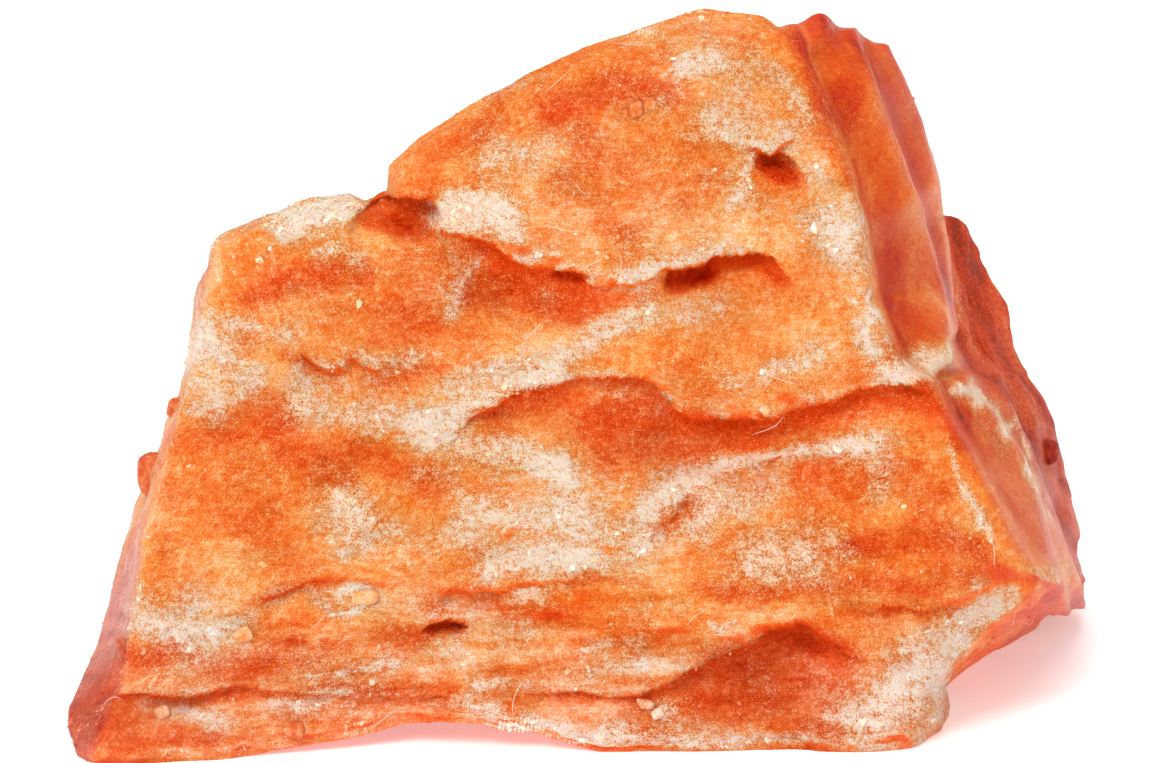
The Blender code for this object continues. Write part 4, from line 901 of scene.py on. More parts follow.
# %% Deep, glowing orange
EMBER = {
    "crown": (1.5, 0.8, ((-2.6, 50.1), (0.7, 50.9), (4.6, 51.5), (7.4, 51.4))),
    "crown low": (1.1, 0.45, ((1.5, 40.8), (4.6, 40.5))),
    "crown middle": (2.3, 0.25, ((1.5, 47.6), (7.7, 46.1), (9.3, 43.7))),
    "crown top": (1.1, 0.35, ((8.5, 56.2), (10.8, 55.4), (12.8, 55.3))),
    "crown left": (1.2, 0.3, ((-12.5, 45.7), (-9.4, 47.6), (-6.3, 49.6))),
    "scoop": (1.7, 1.0, ((-8.5, 35.8), (-5.9, 36.1), (-3.2, 35.5), (-0.5, 34.7))),
    "scoop head": (0.7, 0.8, ((-8.6, 39.4), (-6.3, 38.1), (-4.0, 37.0), (-1.6, 36.1))),
    "scoop tail": (0.9, 0.7, ((0.7, 34.2), (3.0, 35.2), (5.4, 35.5))),
    "shoulder": (1.5, 0.8, ((-24.8, 35.8), (-22.6, 36.7), (-19.5, 36.9), (-17.0, 37.5))),
    "shoulder low": (1.4, 0.35, ((-19.5, 33.6), (-14.9, 34.4), (-11.8, 33.6))),
    "plate lip": (0.5, 0.7, ((-22.6, 31.1), (-21.7, 30.3), (-19.9, 29.6), (-18.0, 30.0))),
    "plate lip 2": (0.6, 0.5, ((-15.6, 28.3), (-13.3, 28.9), (-11.0, 29.9))),
    "left heart": (1.9, 0.75, ((-25.1, 27.5), (-23.0, 25.8), (-21.9, 23.1), (-19.5, 21.9))),
    "left heart 2": (1.4, 0.6, ((-16.4, 23.5), (-13.3, 21.9), (-11.0, 20.4))),
    "left wing": (1.6, 0.4, ((-31.2, 24.3), (-27.3, 25.4), (-24.2, 25.8))),
    "left field": (2.0, 0.3, ((-29.6, 19.6), (-25.0, 18.1), (-21.9, 14.9))),
    "under bulge": (1.2, 0.95, (
        (2.6, 24.9), (6.1, 25.1), (9.3, 25.1), (12.8, 24.9), (17.0, 25.8), (21.7, 27.0),
        (26.4, 27.2))),
    "under bulge 2": (1.1, 0.6, ((1.5, 23.5), (7.7, 23.1), (13.9, 23.9))),
    "wing": (1.2, 0.9, ((0.7, 25.4), (2.6, 26.2), (5.0, 26.2))),
    "middle lip": (0.5, 0.9, ((-4.7, 27.7), (-2.0, 28.5), (1.5, 28.6), (4.6, 28.5))),
    "middle recess": (1.1, 0.5, ((-7.1, 26.6), (-3.2, 27.2), (-0.1, 27.0))),
    "knee": (0.9, 0.7, ((26.8, 27.8), (28.3, 25.8), (29.3, 23.9))),
    "right belly": (2.0, 0.55, ((17.0, 20.8), (20.9, 21.2), (25.6, 21.6), (27.2, 19.6))),
    "right belly low": (1.4, 0.8, ((20.9, 15.9), (24.0, 16.5), (27.2, 17.3), (31.1, 15.6))),
    "belly foot": (0.9, 0.6, ((9.3, 13.0), (13.9, 11.8), (20.2, 13.0), (26.4, 12.8), (32.6, 14.2))),
    "flap": (0.9, 0.55, ((5.8, 17.3), (7.3, 18.1), (8.5, 18.7))),
    "shelf foot": (0.5, 0.7, ((-0.5, 13.4), (2.3, 13.7), (5.4, 13.2))),
    "left band": (1.2, 0.9, ((-34.3, 7.2), (-32.0, 7.9), (-28.9, 6.8), (-25.8, 7.2), (-22.6, 7.8))),
    "left band 2": (0.9, 0.6, ((-21.9, 7.2), (-17.2, 9.0), (-12.5, 8.7))),
    "crack": (0.5, 0.7, ((-25.8, 11.8), (-22.6, 12.6), (-19.5, 13.2), (-18.0, 13.4))),
    "pit": (0.5, 1.0, ((-11.9, 9.3), (-10.5, 9.5), (-9.1, 9.6))),
    "plum": (1.2, 0.55, ((-11.8, 11.4), (-8.6, 11.8), (-5.5, 10.9), (-1.6, 10.4))),
    "foot": (1.2, 0.55, ((-36.7, 1.3), (-32.8, 0.9), (-28.9, 0.8))),
    "under sole": (0.4, 0.6, ((-19.5, 4.8), (-12.5, 4.7), (-9.4, 4.4))),
    "hollow": (2.0, 0.9, ((10.8, 6.2), (13.9, 7.5), (17.0, 7.9), (19.8, 7.0))),
    "hollow mouth": (0.9, 1.0, ((14.7, 8.7), (17.0, 9.0), (19.0, 8.7))),
    "hollow low": (1.9, 0.5, ((9.3, 3.7), (13.9, 4.0), (19.4, 4.8))),
    "toe": (0.9, 0.5, ((7.7, 2.3), (13.9, 2.1), (20.2, 1.3))),
    "sole crack": (0.3, 0.8, ((23.3, 10.9), (26.4, 10.7), (29.5, 10.9))),
    "tooth": (0.8, 1.0, ((14.6, 45.7), (15.6, 45.1), (16.7, 44.7))),
    "tooth head": (0.5, 0.7, ((13.6, 46.7), (14.6, 46.2))),
    "cave": (0.7, 0.9, ((12.8, 37.5), (14.3, 37.4), (15.9, 36.3))),
    "notch": (1.4, 0.7, ((-16.3, 41.0), (-14.1, 41.2), (-11.6, 41.1))),
    "notch floor": (0.8, 0.9, ((-15.6, 40.2), (-13.3, 40.5), (-11.6, 40.8))),
    "crown edge": (0.8, 0.5, ((17.0, 55.4), (18.2, 52.3), (19.4, 49.2))),
    "wall line": (0.7, 0.5, ((19.4, 51.5), (21.6, 46.8), (23.3, 40.6), (24.4, 35.2))),
}
print(len(EMBER), "strokes of ember")

# %% Shade, the darkest places
SHADE = {
    "cave hole": (1.0, 1.0, ((7.2, 36.3), (8.6, 36.8), (9.8, 37.2))),
    "crown slit": (0.4, 0.7, ((-2.0, 37.2), (0.2, 36.7))),
    "tooth hollow": (1.0, 0.5, ((14.6, 45.5), (16.4, 44.9))),
    "flat slit": (0.4, 0.6, ((-11.5, 9.6), (-9.2, 9.9))),
    "slab roof": (0.6, 0.4, ((14.6, 9.1), (16.8, 8.9), (18.6, 8.0))),
    "notch pit": (0.9, 0.5, ((-16.8, 41.2), (-13.6, 40.9))),
}
print(len(SHADE), "strokes of shade")


# %% Brushing them on
STROKE_CORE = 0.25
STROKE_EDGE = 1.35
HALO = 2.4
TEAR_ACROSS = ((3.0, 0.7), (1.1, 0.45), (0.5, 0.2))
TEAR_UP = ((2.4, 0.45), (0.9, 0.3), (0.5, 0.15))


def distance_to_path(places, path):
    """The least distance to any stretch, where a stretch's nearest share is held from 0 to 1."""
    nearest = np.full(len(places), np.inf)
    corners = np.array(path)
    for start, end in zip(corners[:-1], corners[1:]):
        stretch = end - start
        share = np.clip((places - start) @ stretch / (stretch @ stretch), 0.0, 1.0)
        gap = places - start - share[:, None] * stretch
        nearest = np.minimum(nearest, np.linalg.norm(gap, axis=1))
    return nearest


def brushed(strokes, places, spread=1.0):
    """One minus the product of what each stroke leaves bare, so strokes add without glare."""
    bare = np.ones(len(places))
    for width, strength, path in strokes.values():
        away = distance_to_path(places, path) / (width * spread)
        bare *= 1.0 - strength * (1.0 - ramp(away, STROKE_CORE, STROKE_EDGE))
    return 1.0 - bare


tear = np.stack((waves(plain, TEAR_ACROSS, seed=71), waves(plain, TEAR_UP, seed=75)), axis=1)
torn = plain[:, :2] + tear
facing = 1.0 - behind
frost = brushed(FROST, torn) * facing
cream = brushed(CREAM, torn) * facing
ember = brushed(EMBER, torn) * facing
halo = brushed(FROST, torn, HALO) * facing
shade = brushed(SHADE, sheet[:, :2]) * facing

# %% [markdown]
# ## Values that follow the shape
#
# Round the back nothing is brushed on: there noise alone says where frost, cream and embers
# lie.  The rest is worked out from the shape.  First come *masks*, which are 1 where something
# is so and 0 where it isn't: on a wall, just under a lip, on a rim, where the surface looks
# down.  In EASES each mask has the two numbers between which it rises.

# %% Streaks, layers and the edges of lips
LEFT_WALL = ((0.0, -37.6), (5.1, -35.6), (11.8, -34.5), (16.5, -34.1), (24.3, -31.9), (31.3, -30.1),
             (38.0, -28.6))
WALL_STREAKS = (((0.4, 7.0, 9.0), 0.17), ((1.3, 12.0, 9.0), 0.16))
LOW_STREAKS = (((6.0, 0.7, 6.0), 0.14), ((2.5, 0.3, 2.5), 0.08))
LIP_RIM = 0.5
LIP_SHADE = 1.3
EASES = {
    "low layers": (-16.0, -9.0), "deep lip": (0.4, 1.8), "lip": (-0.1, 0.1), "under": (0.5, 0.85),
    "right wall": (0.2, 1.4), "edge": (-1.2, 0.2), "rear wall": (-0.1, 0.5), "foot": (-12.0, -5.0),
    "block across": (-4.0, -1.5), "block up": (-27.0, -25.0), "left foot up": (-4.5, -3.0),
    "left foot across": (22.0, 30.0), "back frost": (0.1, 0.9), "back cream": (-0.1, 0.8),
    "back ember": (0.1, 0.8), "flecks": (0.45, 0.9),
}


def mask(what, value):
    """A smooth step between the two numbers that EASES gives."""
    return ramp(value, *EASES[what])


def way_to_sheet(ways):
    """Directions in the world, turned back to the leaning sheet."""
    cos_lean, sin_lean = math.cos(LEAN), math.sin(LEAN)
    return np.stack((ways[:, 0], ways[:, 2] * cos_lean + ways[:, 1] * sin_lean,
                     ways[:, 2] * sin_lean - ways[:, 1] * cos_lean), axis=1)


def streaks(points):
    """Noise drawn out down the wall, and beside it narrow."""
    lengthwise = np.stack((beside(points, WALL_FOOT), points[:, 1], points[:, 2]), axis=1)
    return waves(lengthwise, WALL_STREAKS, seed=99)


def low_layers(points):
    """Noise drawn out along the layers, near the foot of the stone."""
    return waves(points, LOW_STREAKS, seed=103) * mask("low layers", -points[:, 1])


def lip_edges(points):
    """Two masks along each deep lip: a painted highlight on its thin edge, painted shade just below it.
    """
    across, up = wavering(points)
    lit_rim, shade_below = np.zeros((2, len(points)))
    for _, lip in LEDGES.values():
        run, height, depth = np.array(lip).T
        above = up - np.interp(across, run, height)
        deep = mask("deep lip", np.interp(across, run, depth, left=0.0, right=0.0))
        upper = mask("lip", above)
        lit_rim = np.maximum(lit_rim, deep * upper * fading(above, LIP_RIM))
        shade_below = np.maximum(shade_below, deep * (1.0 - upper) * fading(-above, LIP_SHADE))
    return lit_rim, shade_below


# %% The masks
BACK_PATCHES = ((9.0, 0.7), (3.0, 0.4), (1.2, 0.2))
BACK_FROST = 0.7
BACK_CREAM = 0.7
BACK_EMBER = 0.6
SOFT_EDGE = (0.6, 0.4, 6.0)
LEFT_START = -0.2
DEEPEST = 3.2
SHADED_SHARE = 0.7

facings = np.empty(len(sheet) * 3, dtype=np.float32)
stone.data.vertex_normals.foreach_get("vector", facings)
facings = way_to_sheet(facings.reshape(-1, 3))
patches = waves(sheet, BACK_PATCHES, seed=81)
creamy_patches = waves(sheet, BACK_PATCHES, seed=85)
frost += behind * mask("back frost", patches) * BACK_FROST
cream += behind * mask("back cream", creamy_patches) * BACK_CREAM
ember += behind * mask("back ember", -patches) * BACK_EMBER

to_right = beside(plain, WALL_FOOT)
least, growth, soft_from = SOFT_EDGE
softness = least + growth * np.clip(-plain[:, 2] - soft_from, 0.0, None)
right_wall = mask("right wall", to_right) * facing
edge = mask("edge", to_right) * facing
rear_wall = mask("rear wall", beside(plain, REAR_LINE)) * facing
left_wall = ramp(-beside(plain, LEFT_WALL), LEFT_START, softness) * facing
foot = mask("foot", -plain[:, 1]) * facing
block_edge = mask("block across", to_right) * mask("block up", -plain[:, 1]) * facing
left_foot = mask("left foot up", -plain[:, 1]) * mask("left foot across", -plain[:, 0]) * facing
# Painted shade and glow in recesses: the deeper a place is sunk, the darker, redder and more glowing its
# colour.
recess_shade = np.clip(sink / DEEPEST, 0.0, 1.0) * facing
# Painted shade where the surface looks down: these places are made darker and redder, glow a little, and
# keep no frost.
under = mask("under", -facings[:, 1]) * facing
# The rims of the flakes are made paler: partly the pale rims the plates have, partly a painted highlight
# on steps too small to catch the light themselves.
pale_rims_and_highlights = flake_rims(plain) * calm
# A painted highlight along the thin edge of each deep lip, and painted shade just below it.
lit, below = (part * facing for part in lip_edges(plain))
# Frost is kept off the places in painted shade, under lips and facing down.
open_to_light = (1.0 - under) * (1.0 - SHADED_SHARE * below)
frost = frost * open_to_light
for name, part in (("right wall", right_wall), ("left wall", left_wall), ("facing down", under)):
    print(f"{name}: {part.mean():.3f} of the points")

# %% [markdown]
# Then six values are made by adding up masks, each times a weight.  *pale* runs from ember red
# at 0 to white at 1, *red* turns honey orange towards red, *rosy* turns it towards brick on the
# outer walls, *wax* says where the stone is smooth, *crust* where it is sugary, and *glow*
# where light comes through it, a painted glow.  Under a lip, in recesses and where the surface
# looks down, painted shade makes the stone darker and deep red, as light that has come through
# it would, the thin edges of lips get a painted highlight, and the walls are streaked from top
# to bottom.

# %% The six values
BODY_CLOUDS = ((8.0, 0.07), (3.0, 0.07), (1.3, 0.06))
RED_CLOUDS = ((6.0, 0.35), (2.0, 0.3))
CRUST_CLOUDS = ((5.0, 0.16), (1.6, 0.16))
WALL_FLECKS = ((3.5, 0.5), (1.4, 0.5), (0.6, 0.4))
FLECK_PALE = 0.22
WALL_FROST = 0.28
BODY_PALE = 0.49
BODY_RED = 0.25
BODY_CRUST = 0.16
PALEST = 0.40
# In these sums the lip edges add a painted highlight, the places under lips, in recesses and facing down
# add painted shade, darker and redder, and lit through is a painted glow.
WEIGHTS = {
    "paler": {"pale_rims_and_highlights": 0.14, "lit": 0.12, "cream": 0.26, "halo": 0.08, "frost": 0.14},
    "darker": {"ember": 0.15, "recess_shade": 0.04, "under": 0.14, "below": 0.08, "shade": 0.36,
               "edge": 0.10, "right_wall": 0.08, "rear_wall": 0.10, "left_wall": 0.17},
    "redder": {"ember": 0.9, "recess_shade": 0.3, "under": 0.8, "below": 0.7, "shade": 1.0, "edge": 0.3,
               "right_wall": 0.15, "cream": -0.3, "halo": -0.2},
    "rosier": {"rear_wall": 0.3, "left_wall": 1.0, "foot": 0.25},
    "waxier": {"block_edge": 0.7, "left_foot": 0.8},
    "sugary": {"cream": 0.15, "halo": 0.3, "frost": 0.4, "lit": 0.2, "shade": -0.3},
    "lit through": {"below": 1.0, "under": 1.0, "recess_shade": 0.6},
}
MASKS = {
    "frost": frost, "cream": cream, "ember": ember, "halo": halo, "shade": shade,
    "right_wall": right_wall, "rear_wall": rear_wall, "left_wall": left_wall, "edge": edge,
    "foot": foot, "block_edge": block_edge, "left_foot": left_foot, "recess_shade": recess_shade, "under": under,
    "pale_rims_and_highlights": pale_rims_and_highlights, "lit": lit, "below": below,
}


def added(what):
    """The masks that WEIGHTS names, each times its weight, added up."""
    return sum(weight * MASKS[name] for name, weight in WEIGHTS[what].items())


flecks = FLECK_PALE * mask("flecks", waves(sheet, WALL_FLECKS, seed=93))
paler = PALEST * (1.0 - np.exp(-added("paler") * open_to_light / PALEST))
pale = (BODY_PALE + waves(plain, BODY_CLOUDS, seed=91) + low_layers(plain) * facing
        + paler - added("darker") + (streaks(plain) + WALL_FROST * frost + flecks) * right_wall)
red = np.clip(BODY_RED + waves(plain, RED_CLOUDS, seed=95) + added("redder"), 0.0, 1.0)
rosy = np.clip(added("rosier"), 0.0, 1.0)
wax = np.clip(np.maximum(right_wall - rear_wall, left_wall) + added("waxier"), 0.0, 1.0)
clouds = waves(plain, CRUST_CLOUDS, seed=97)
crust = np.clip((BODY_CRUST + clouds + added("sugary")) * open_to_light, 0.0, 1.0)
glow = np.clip(added("lit through") * (1.0 - shade) * (1.0 - wax), 0.0, 1.0)
for name, values in (("pale", pale), ("red", red), ("rosy", rosy), ("wax", wax),
                     ("crust", crust), ("glow", glow)):
    keep_value(stone, name, np.clip(values, 0.0, 1.0))
    print(f"{name}: mean {values.mean():.2f}, least {values.min():.2f}, most {values.max():.2f}")

# %% [markdown]
# ## Tools for materials
#
# A material is a network of nodes.  A few short helpers keep the networks readable: `feed`
# joins or sets a socket, `add_node` adds a node and feeds it, `calc` does a sum, `smooth` makes
# a smooth step and `tint` mixes two colours.

# %% Helpers for nodes
def feed(tree, sockets, values):
    """Each named socket is joined to its value where that is a socket, and set to it elsewhere."""
    for name, value in values.items():
        if isinstance(value, bpy.types.NodeSocket):
            tree.links.new(value, sockets[name])
        else:
            sockets[name].default_value = value


def add_node(tree, kind, inputs=(), **settings):
    """A new node with its settings, its inputs fed from a table of names and values."""
    made = tree.nodes.new(kind)
    for name, value in settings.items():
        setattr(made, name, value)
    feed(tree, made.inputs, dict(inputs))
    return made


def calc(tree, operation, *values):
    """One sum: the node's operation on two or three numbers or sockets."""
    return add_node(tree, "ShaderNodeMath", dict(enumerate(values)), operation=operation).outputs[0]


def smooth(tree, value, low, high):
    """A smooth step from 0 at low to 1 at high."""
    inputs = {"Value": value, "From Min": low, "From Max": high}
    made = add_node(tree, "ShaderNodeMapRange", inputs, interpolation_type="SMOOTHSTEP")
    return made.outputs["Result"]


def tint(tree, share, under, over):
    """Two colours mixed by a share from 0 to 1."""
    made = add_node(tree, "ShaderNodeMix", data_type="RGBA")
    sockets = {each.identifier: each for each in made.inputs}
    feed(tree, sockets, {"Factor_Float": share, "A_Color": under, "B_Color": over})
    return next(each for each in made.outputs if each.identifier == "Result_Color")


# %% Helpers for colours and groups
def colour(red, green, blue):
    """A screen colour from 0 to 255 as the straight light values that nodes use."""
    share = np.array((red, green, blue)) / 255.0
    # The usual screen curve: a straight line near black, and a power of 2.4 above it.
    light = np.where(share <= 0.04045, share / 12.92, ((share + 0.055) / 1.055) ** 2.4)
    return (*light.tolist(), 1.0)


def new_group(name, inputs, outputs):
    """An empty node group with named inputs and outputs, and its two end nodes."""
    group = bpy.data.node_groups.new(name, "ShaderNodeTree")
    for label, kind, value in inputs:
        socket = group.interface.new_socket(label, in_out="INPUT", socket_type="NodeSocket" + kind)
        if value is not None:
            socket.default_value = value
    for label, kind in outputs:
        group.interface.new_socket(label, in_out="OUTPUT", socket_type="NodeSocket" + kind)
    return group, add_node(group, "NodeGroupInput").outputs, add_node(group, "NodeGroupOutput").inputs


def use_group(tree, group, **inputs):
    """Place a group in a material with its own values."""
    return add_node(tree, "ShaderNodeGroup", inputs, node_tree=group).outputs


# %% [markdown]
# ## Grain and colour, as node groups
#
# The stone and the loose pieces on it share their looks, so the looks are node groups.  *Sugar*
# is noise in millimetres: crystals a tenth or two across, clumps of them, and streaks that
# follow the layers.  *Mineral colour* holds three scales from dark to white, honey, red and
# rosy, and mixes them.  Adding grain to the paleness before it is looked up makes each crystal
# a little redder or whiter than its neighbour, which a flat colour never does.

# %% The sugar group
LAYER_TURN = (0.0, math.radians(-14.0), 0.0)
LAYER_STRETCH = (0.25, 1.0, 1.5)
GRAIN_TURN = (0.7, 0.5, 0.3)
FINE = (1.0, 3.0, 0.8)
CLUMPS = (0.2, 4.0, 0.7)
STREAKS = (0.35, 3.0, 0.65)


def sugar_group():
    """Three noises, each less a half, from its (times finer, detail, roughness)."""
    group, given, put = new_group("sugar", (("Vector", "Vector", None), ("Size", "Float", 0.3)),
                                  (("Fine", "Float"), ("Clumps", "Float"), ("Streaks", "Float")))
    scale = calc(group, "DIVIDE", 1.0, given["Size"])
    turned = add_node(group, "ShaderNodeMapping", {"Vector": given["Vector"], "Rotation": GRAIN_TURN})
    along = add_node(group, "ShaderNodeMapping", {"Vector": given["Vector"], "Rotation": LAYER_TURN,
                                                  "Scale": LAYER_STRETCH})
    for label, place, (finer, detail, roughness) in (("Fine", turned, FINE), ("Clumps", turned, CLUMPS),
                                                     ("Streaks", along, STREAKS)):
        texture = add_node(group, "ShaderNodeTexNoise", {
            "Vector": place.outputs["Vector"], "Scale": calc(group, "MULTIPLY", scale, finer),
            "Detail": detail, "Roughness": roughness})
        group.links.new(calc(group, "SUBTRACT", texture.outputs["Fac"], 0.5), put[label])
    return group


sugar = sugar_group()
print("sugar has", len(sugar.nodes), "nodes")

# %% The colour group
HONEY_SCALE = (
    (0.0, (188, 54, 2)), (0.16, (214, 74, 6)), (0.34, (225, 103, 25)), (0.5, (233, 135, 53)),
    (0.66, (241, 170, 100)), (0.82, (248, 206, 163)), (1.0, (255, 235, 220)),
)
RED_SCALE = (
    (0.0, (100, 6, 0)), (0.14, (196, 38, 2)), (0.34, (214, 73, 17)), (0.5, (226, 105, 45)),
    (0.66, (236, 148, 95)), (0.82, (246, 200, 165)), (1.0, (255, 235, 223)),
)
ROSY_SCALE = (
    (0.0, (124, 26, 14)), (0.2, (168, 50, 28)), (0.42, (200, 86, 54)), (0.6, (222, 130, 100)),
    (0.8, (238, 188, 168)), (1.0, (252, 236, 230)),
)


def colour_scale(group, factor, stops):
    """A colour ramp whose stops are given as (place, screen colour)."""
    scale = add_node(group, "ShaderNodeValToRGB", {"Fac": factor})
    elements = scale.color_ramp.elements
    while len(elements) < len(stops):
        elements.new(0.5)
    for element, (place, screen) in zip(elements, stops):
        element.position = place
        element.color = colour(*screen)
    return scale.outputs["Color"]


def mineral_group():
    """The honey and red scales, both looked up by Pale, mixed by Red, and the rosy one by Rosy."""
    inputs = (("Pale", "Float", 0.5), ("Red", "Float", 0.0), ("Rosy", "Float", 0.0))
    group, given, put = new_group("mineral_colour", inputs, (("Color", "Color"),))
    honey, deep, brick = (colour_scale(group, given["Pale"], stops)
                          for stops in (HONEY_SCALE, RED_SCALE, ROSY_SCALE))
    warm = tint(group, given["Red"], honey, deep)
    group.links.new(tint(group, given["Rosy"], warm, brick), put["Color"])
    return group


mineral = mineral_group()
print("mineral_colour has", len(mineral.nodes), "nodes")

# %% [markdown]
# ## The stone's own material
#
# The paleness that was brushed on gets its grain here, and more of it where the surface is
# sugary than where it is waxy.  Fine, darker cracks part the sugar into grains: they are the
# edges of Voronoi cells, pushed about by the clumps so that they waver.  Light also goes a
# little way into the stone and comes out redder, which is what subsurface scattering is for.
# A lip is thin enough for light to come right through it, which scattering shows too weakly, so
# a faint emission follows the *glow*.  The finest grain is a bump, because it is finer than any
# mesh should be.

# %% How much of each thing
GRAIN_SIZE = 0.12
WAX_CALM = 0.3
FINE_SHARE = 0.72
FINE_ON_CRUST = 1.5
CLUMP_SHARE = 0.58
STREAK_SHARE = 0.42
FROST_SHARE = 0.25
GLINT_SHARE = 0.27
CRACK_SHARE = 0.30
FROSTING_SHARES = (1.0, 1.1, 1.0, 0.5)
FROSTING_EASE = (0.32, 0.88)
GLINT_EASE = (0.10, 0.17)
CRACK_EASE = (0.07, 0.0)
CRACK_APART = 0.9
CRACK_WARP = 1.6
BUMP_SHARES = (0.7, 1.6, 0.4)
BUMP_STRENGTH = 0.9
BUMP_HEIGHT = 0.2
ROUGHNESS = (0.5, 0.22)
WAX_COAT = 0.1
BLACK = (0.0, 0.0, 0.0, 1.0)
THROUGH = (255, 92, 16)
GLOW = 0.16


# %% Sums, places and cracks as nodes
def weighted(tree, *pairs):
    """A sum of sockets, each times its weight."""
    total = 0.0
    for socket, weight in pairs:
        total = calc(tree, "ADD", total, calc(tree, "MULTIPLY", socket, weight))
    return total


def millimetres(tree):
    """The place on the object, in millimetres."""
    place = add_node(tree, "ShaderNodeTexCoord").outputs["Object"]
    return add_node(tree, "ShaderNodeVectorMath", {0: place, "Scale": 1.0 / MM},
                    operation="SCALE").outputs["Vector"]


def warped(tree, place, height):
    """The place pushed aside by a height, so that straight lines waver."""
    aside = add_node(tree, "ShaderNodeCombineXYZ", {
        "X": calc(tree, "MULTIPLY", height, CRACK_WARP),
        "Z": calc(tree, "MULTIPLY", height, -CRACK_WARP)})
    return add_node(tree, "ShaderNodeVectorMath", {0: place, 1: aside.outputs["Vector"]},
                    operation="ADD").outputs["Vector"]


def crack_lines(tree, place):
    """A smooth step of the distance to the nearest edge between Voronoi cells."""
    cells = add_node(tree, "ShaderNodeTexVoronoi", {"Vector": place, "Scale": 1.0 / CRACK_APART},
                     feature="DISTANCE_TO_EDGE")
    return smooth(tree, cells.outputs["Distance"], *CRACK_EASE)


def attributes(tree, *names):
    """The values kept on the mesh, as sockets."""
    return (add_node(tree, "ShaderNodeAttribute", attribute_name=name).outputs["Fac"]
            for name in names)


def new_material(name):
    """A new material, its node tree and its shader."""
    material = bpy.data.materials.new(name)
    material.use_nodes = True
    return material, material.node_tree, material.node_tree.nodes["Principled BSDF"]


# %% The stone's material
def stone_material():
    """Paleness plus weighted grain, frosting, glints and cracks, looked up as a colour."""
    material, tree, surface = new_material("cloudy_orange_stone")
    place = millimetres(tree)
    pale, red, rosy, wax, crust, glow = attributes(
        tree, "pale", "red", "rosy", "wax", "crust", "glow")
    grain = use_group(tree, sugar, Vector=place, Size=GRAIN_SIZE)
    dull = calc(tree, "SUBTRACT", 1.0, calc(tree, "MULTIPLY", wax, WAX_CALM))
    sources = (crust, grain["Fine"], grain["Clumps"], grain["Streaks"])
    frosting = smooth(tree, weighted(tree, *zip(sources, FROSTING_SHARES)), *FROSTING_EASE)
    glints = smooth(tree, grain["Fine"], *GLINT_EASE)
    cracks = crack_lines(tree, warped(tree, place, grain["Clumps"]))
    cracks = calc(tree, "MULTIPLY", cracks, crust)
    coarser = weighted(tree, (crust, FINE_ON_CRUST), (FINE_SHARE, 1.0))
    rough_grain = calc(tree, "MULTIPLY", grain["Fine"], coarser)
    stir = weighted(tree, (rough_grain, 1.0), (grain["Clumps"], CLUMP_SHARE),
                    (grain["Streaks"], STREAK_SHARE), (frosting, FROST_SHARE),
                    (glints, GLINT_SHARE), (cracks, -CRACK_SHARE))
    stirred = calc(tree, "ADD", pale, calc(tree, "MULTIPLY", stir, dull))
    relief = weighted(tree, *zip((rough_grain, grain["Clumps"], frosting), BUMP_SHARES))
    bump = add_node(tree, "ShaderNodeBump", {
        "Height": calc(tree, "MULTIPLY", relief, dull),
        "Strength": BUMP_STRENGTH, "Distance": BUMP_HEIGHT * MM})
    usual, smoother = ROUGHNESS
    feed(tree, surface.inputs, {
        "Base Color": use_group(tree, mineral, Pale=stirred, Red=red, Rosy=rosy)["Color"],
        "Emission Color": tint(tree, glow, BLACK, colour(*THROUGH)),
        "Emission Strength": GLOW,
        "Roughness": calc(tree, "SUBTRACT", usual, calc(tree, "MULTIPLY", wax, smoother)),
        "Coat Weight": calc(tree, "MULTIPLY", wax, WAX_COAT),
        "Coat Roughness": 0.2,
        "Normal": bump.outputs["Normal"],
        "Subsurface Weight": 0.5,
        "Subsurface Radius": (1.0, 0.09, 0.03),
        "Subsurface Scale": 3.0 * MM,
        "Specular IOR Level": 0.15,
        "Specular Tint": colour(255, 190, 130),
    })
    return material


stone.data.materials.append(stone_material())
print("the stone's material has", len(stone.data.materials[0].node_tree.nodes), "nodes")

# %% [markdown]
# ## Crumbs that grew on the stone
#
# Thirteen larger crystals and flakes stand on the stone.  Each is a ball whose sines and cosines
# are raised to a power below one, which squares it up into a worn block.  It is sized, turned,
# and set where it belongs: on the point of the surface that a line from outside meets first.

# %% Where the crumbs stand
TO_BACK = (0.0, 0.0, -1.0)
TO_RIGHT = (1.0, 0.0, 0.0)
TO_LEFT = (-1.0, 0.0, 0.0)
CRUMBS = {
    "left stub": ((-60.0, 21.9, -9.0), TO_RIGHT, 1.9, 3.0, 2.4, 8.0),
    "left nub": ((-60.0, 27.0, -8.0), TO_RIGHT, 1.2, 1.8, 1.8, -10.0),
    "right nub": ((60.0, 23.5, -27.0), TO_LEFT, 1.4, 2.0, 2.8, 12.0),
    "crown flake": ((4.2, 49.7, 30.0), TO_BACK, 1.0, 1.3, 0.9, 10.0),
    "crown chip": ((5.5, 50.0, 30.0), TO_BACK, 0.9, 0.8, 0.8, -25.0),
    "foot flake": ((-36.0, 8.3, 30.0), TO_BACK, 1.0, 2.2, 1.0, 6.0),
    "sole crumb": ((-32.9, 3.4, 30.0), TO_BACK, 1.3, 1.1, 1.6, 20.0),
    "sole chip": ((-22.4, 2.1, 30.0), TO_BACK, 1.6, 1.3, 1.4, -15.0),
    "crack flake": ((-16.8, 12.4, 30.0), TO_BACK, 2.0, 1.0, 1.0, 4.0),
    "facet": ((-26.5, 9.4, 30.0), TO_BACK, 1.3, 1.0, 0.8, 30.0),
    "bulge chip": ((14.3, 26.2, 30.0), TO_BACK, 0.9, 0.8, 0.9, 45.0),
    "chip by the slit": ((4.6, 3.6, 30.0), TO_BACK, 1.5, 0.9, 1.0, -14.0),
    "its neighbour": ((6.2, 3.2, 30.0), TO_BACK, 1.0, 0.7, 0.8, 24.0),
}
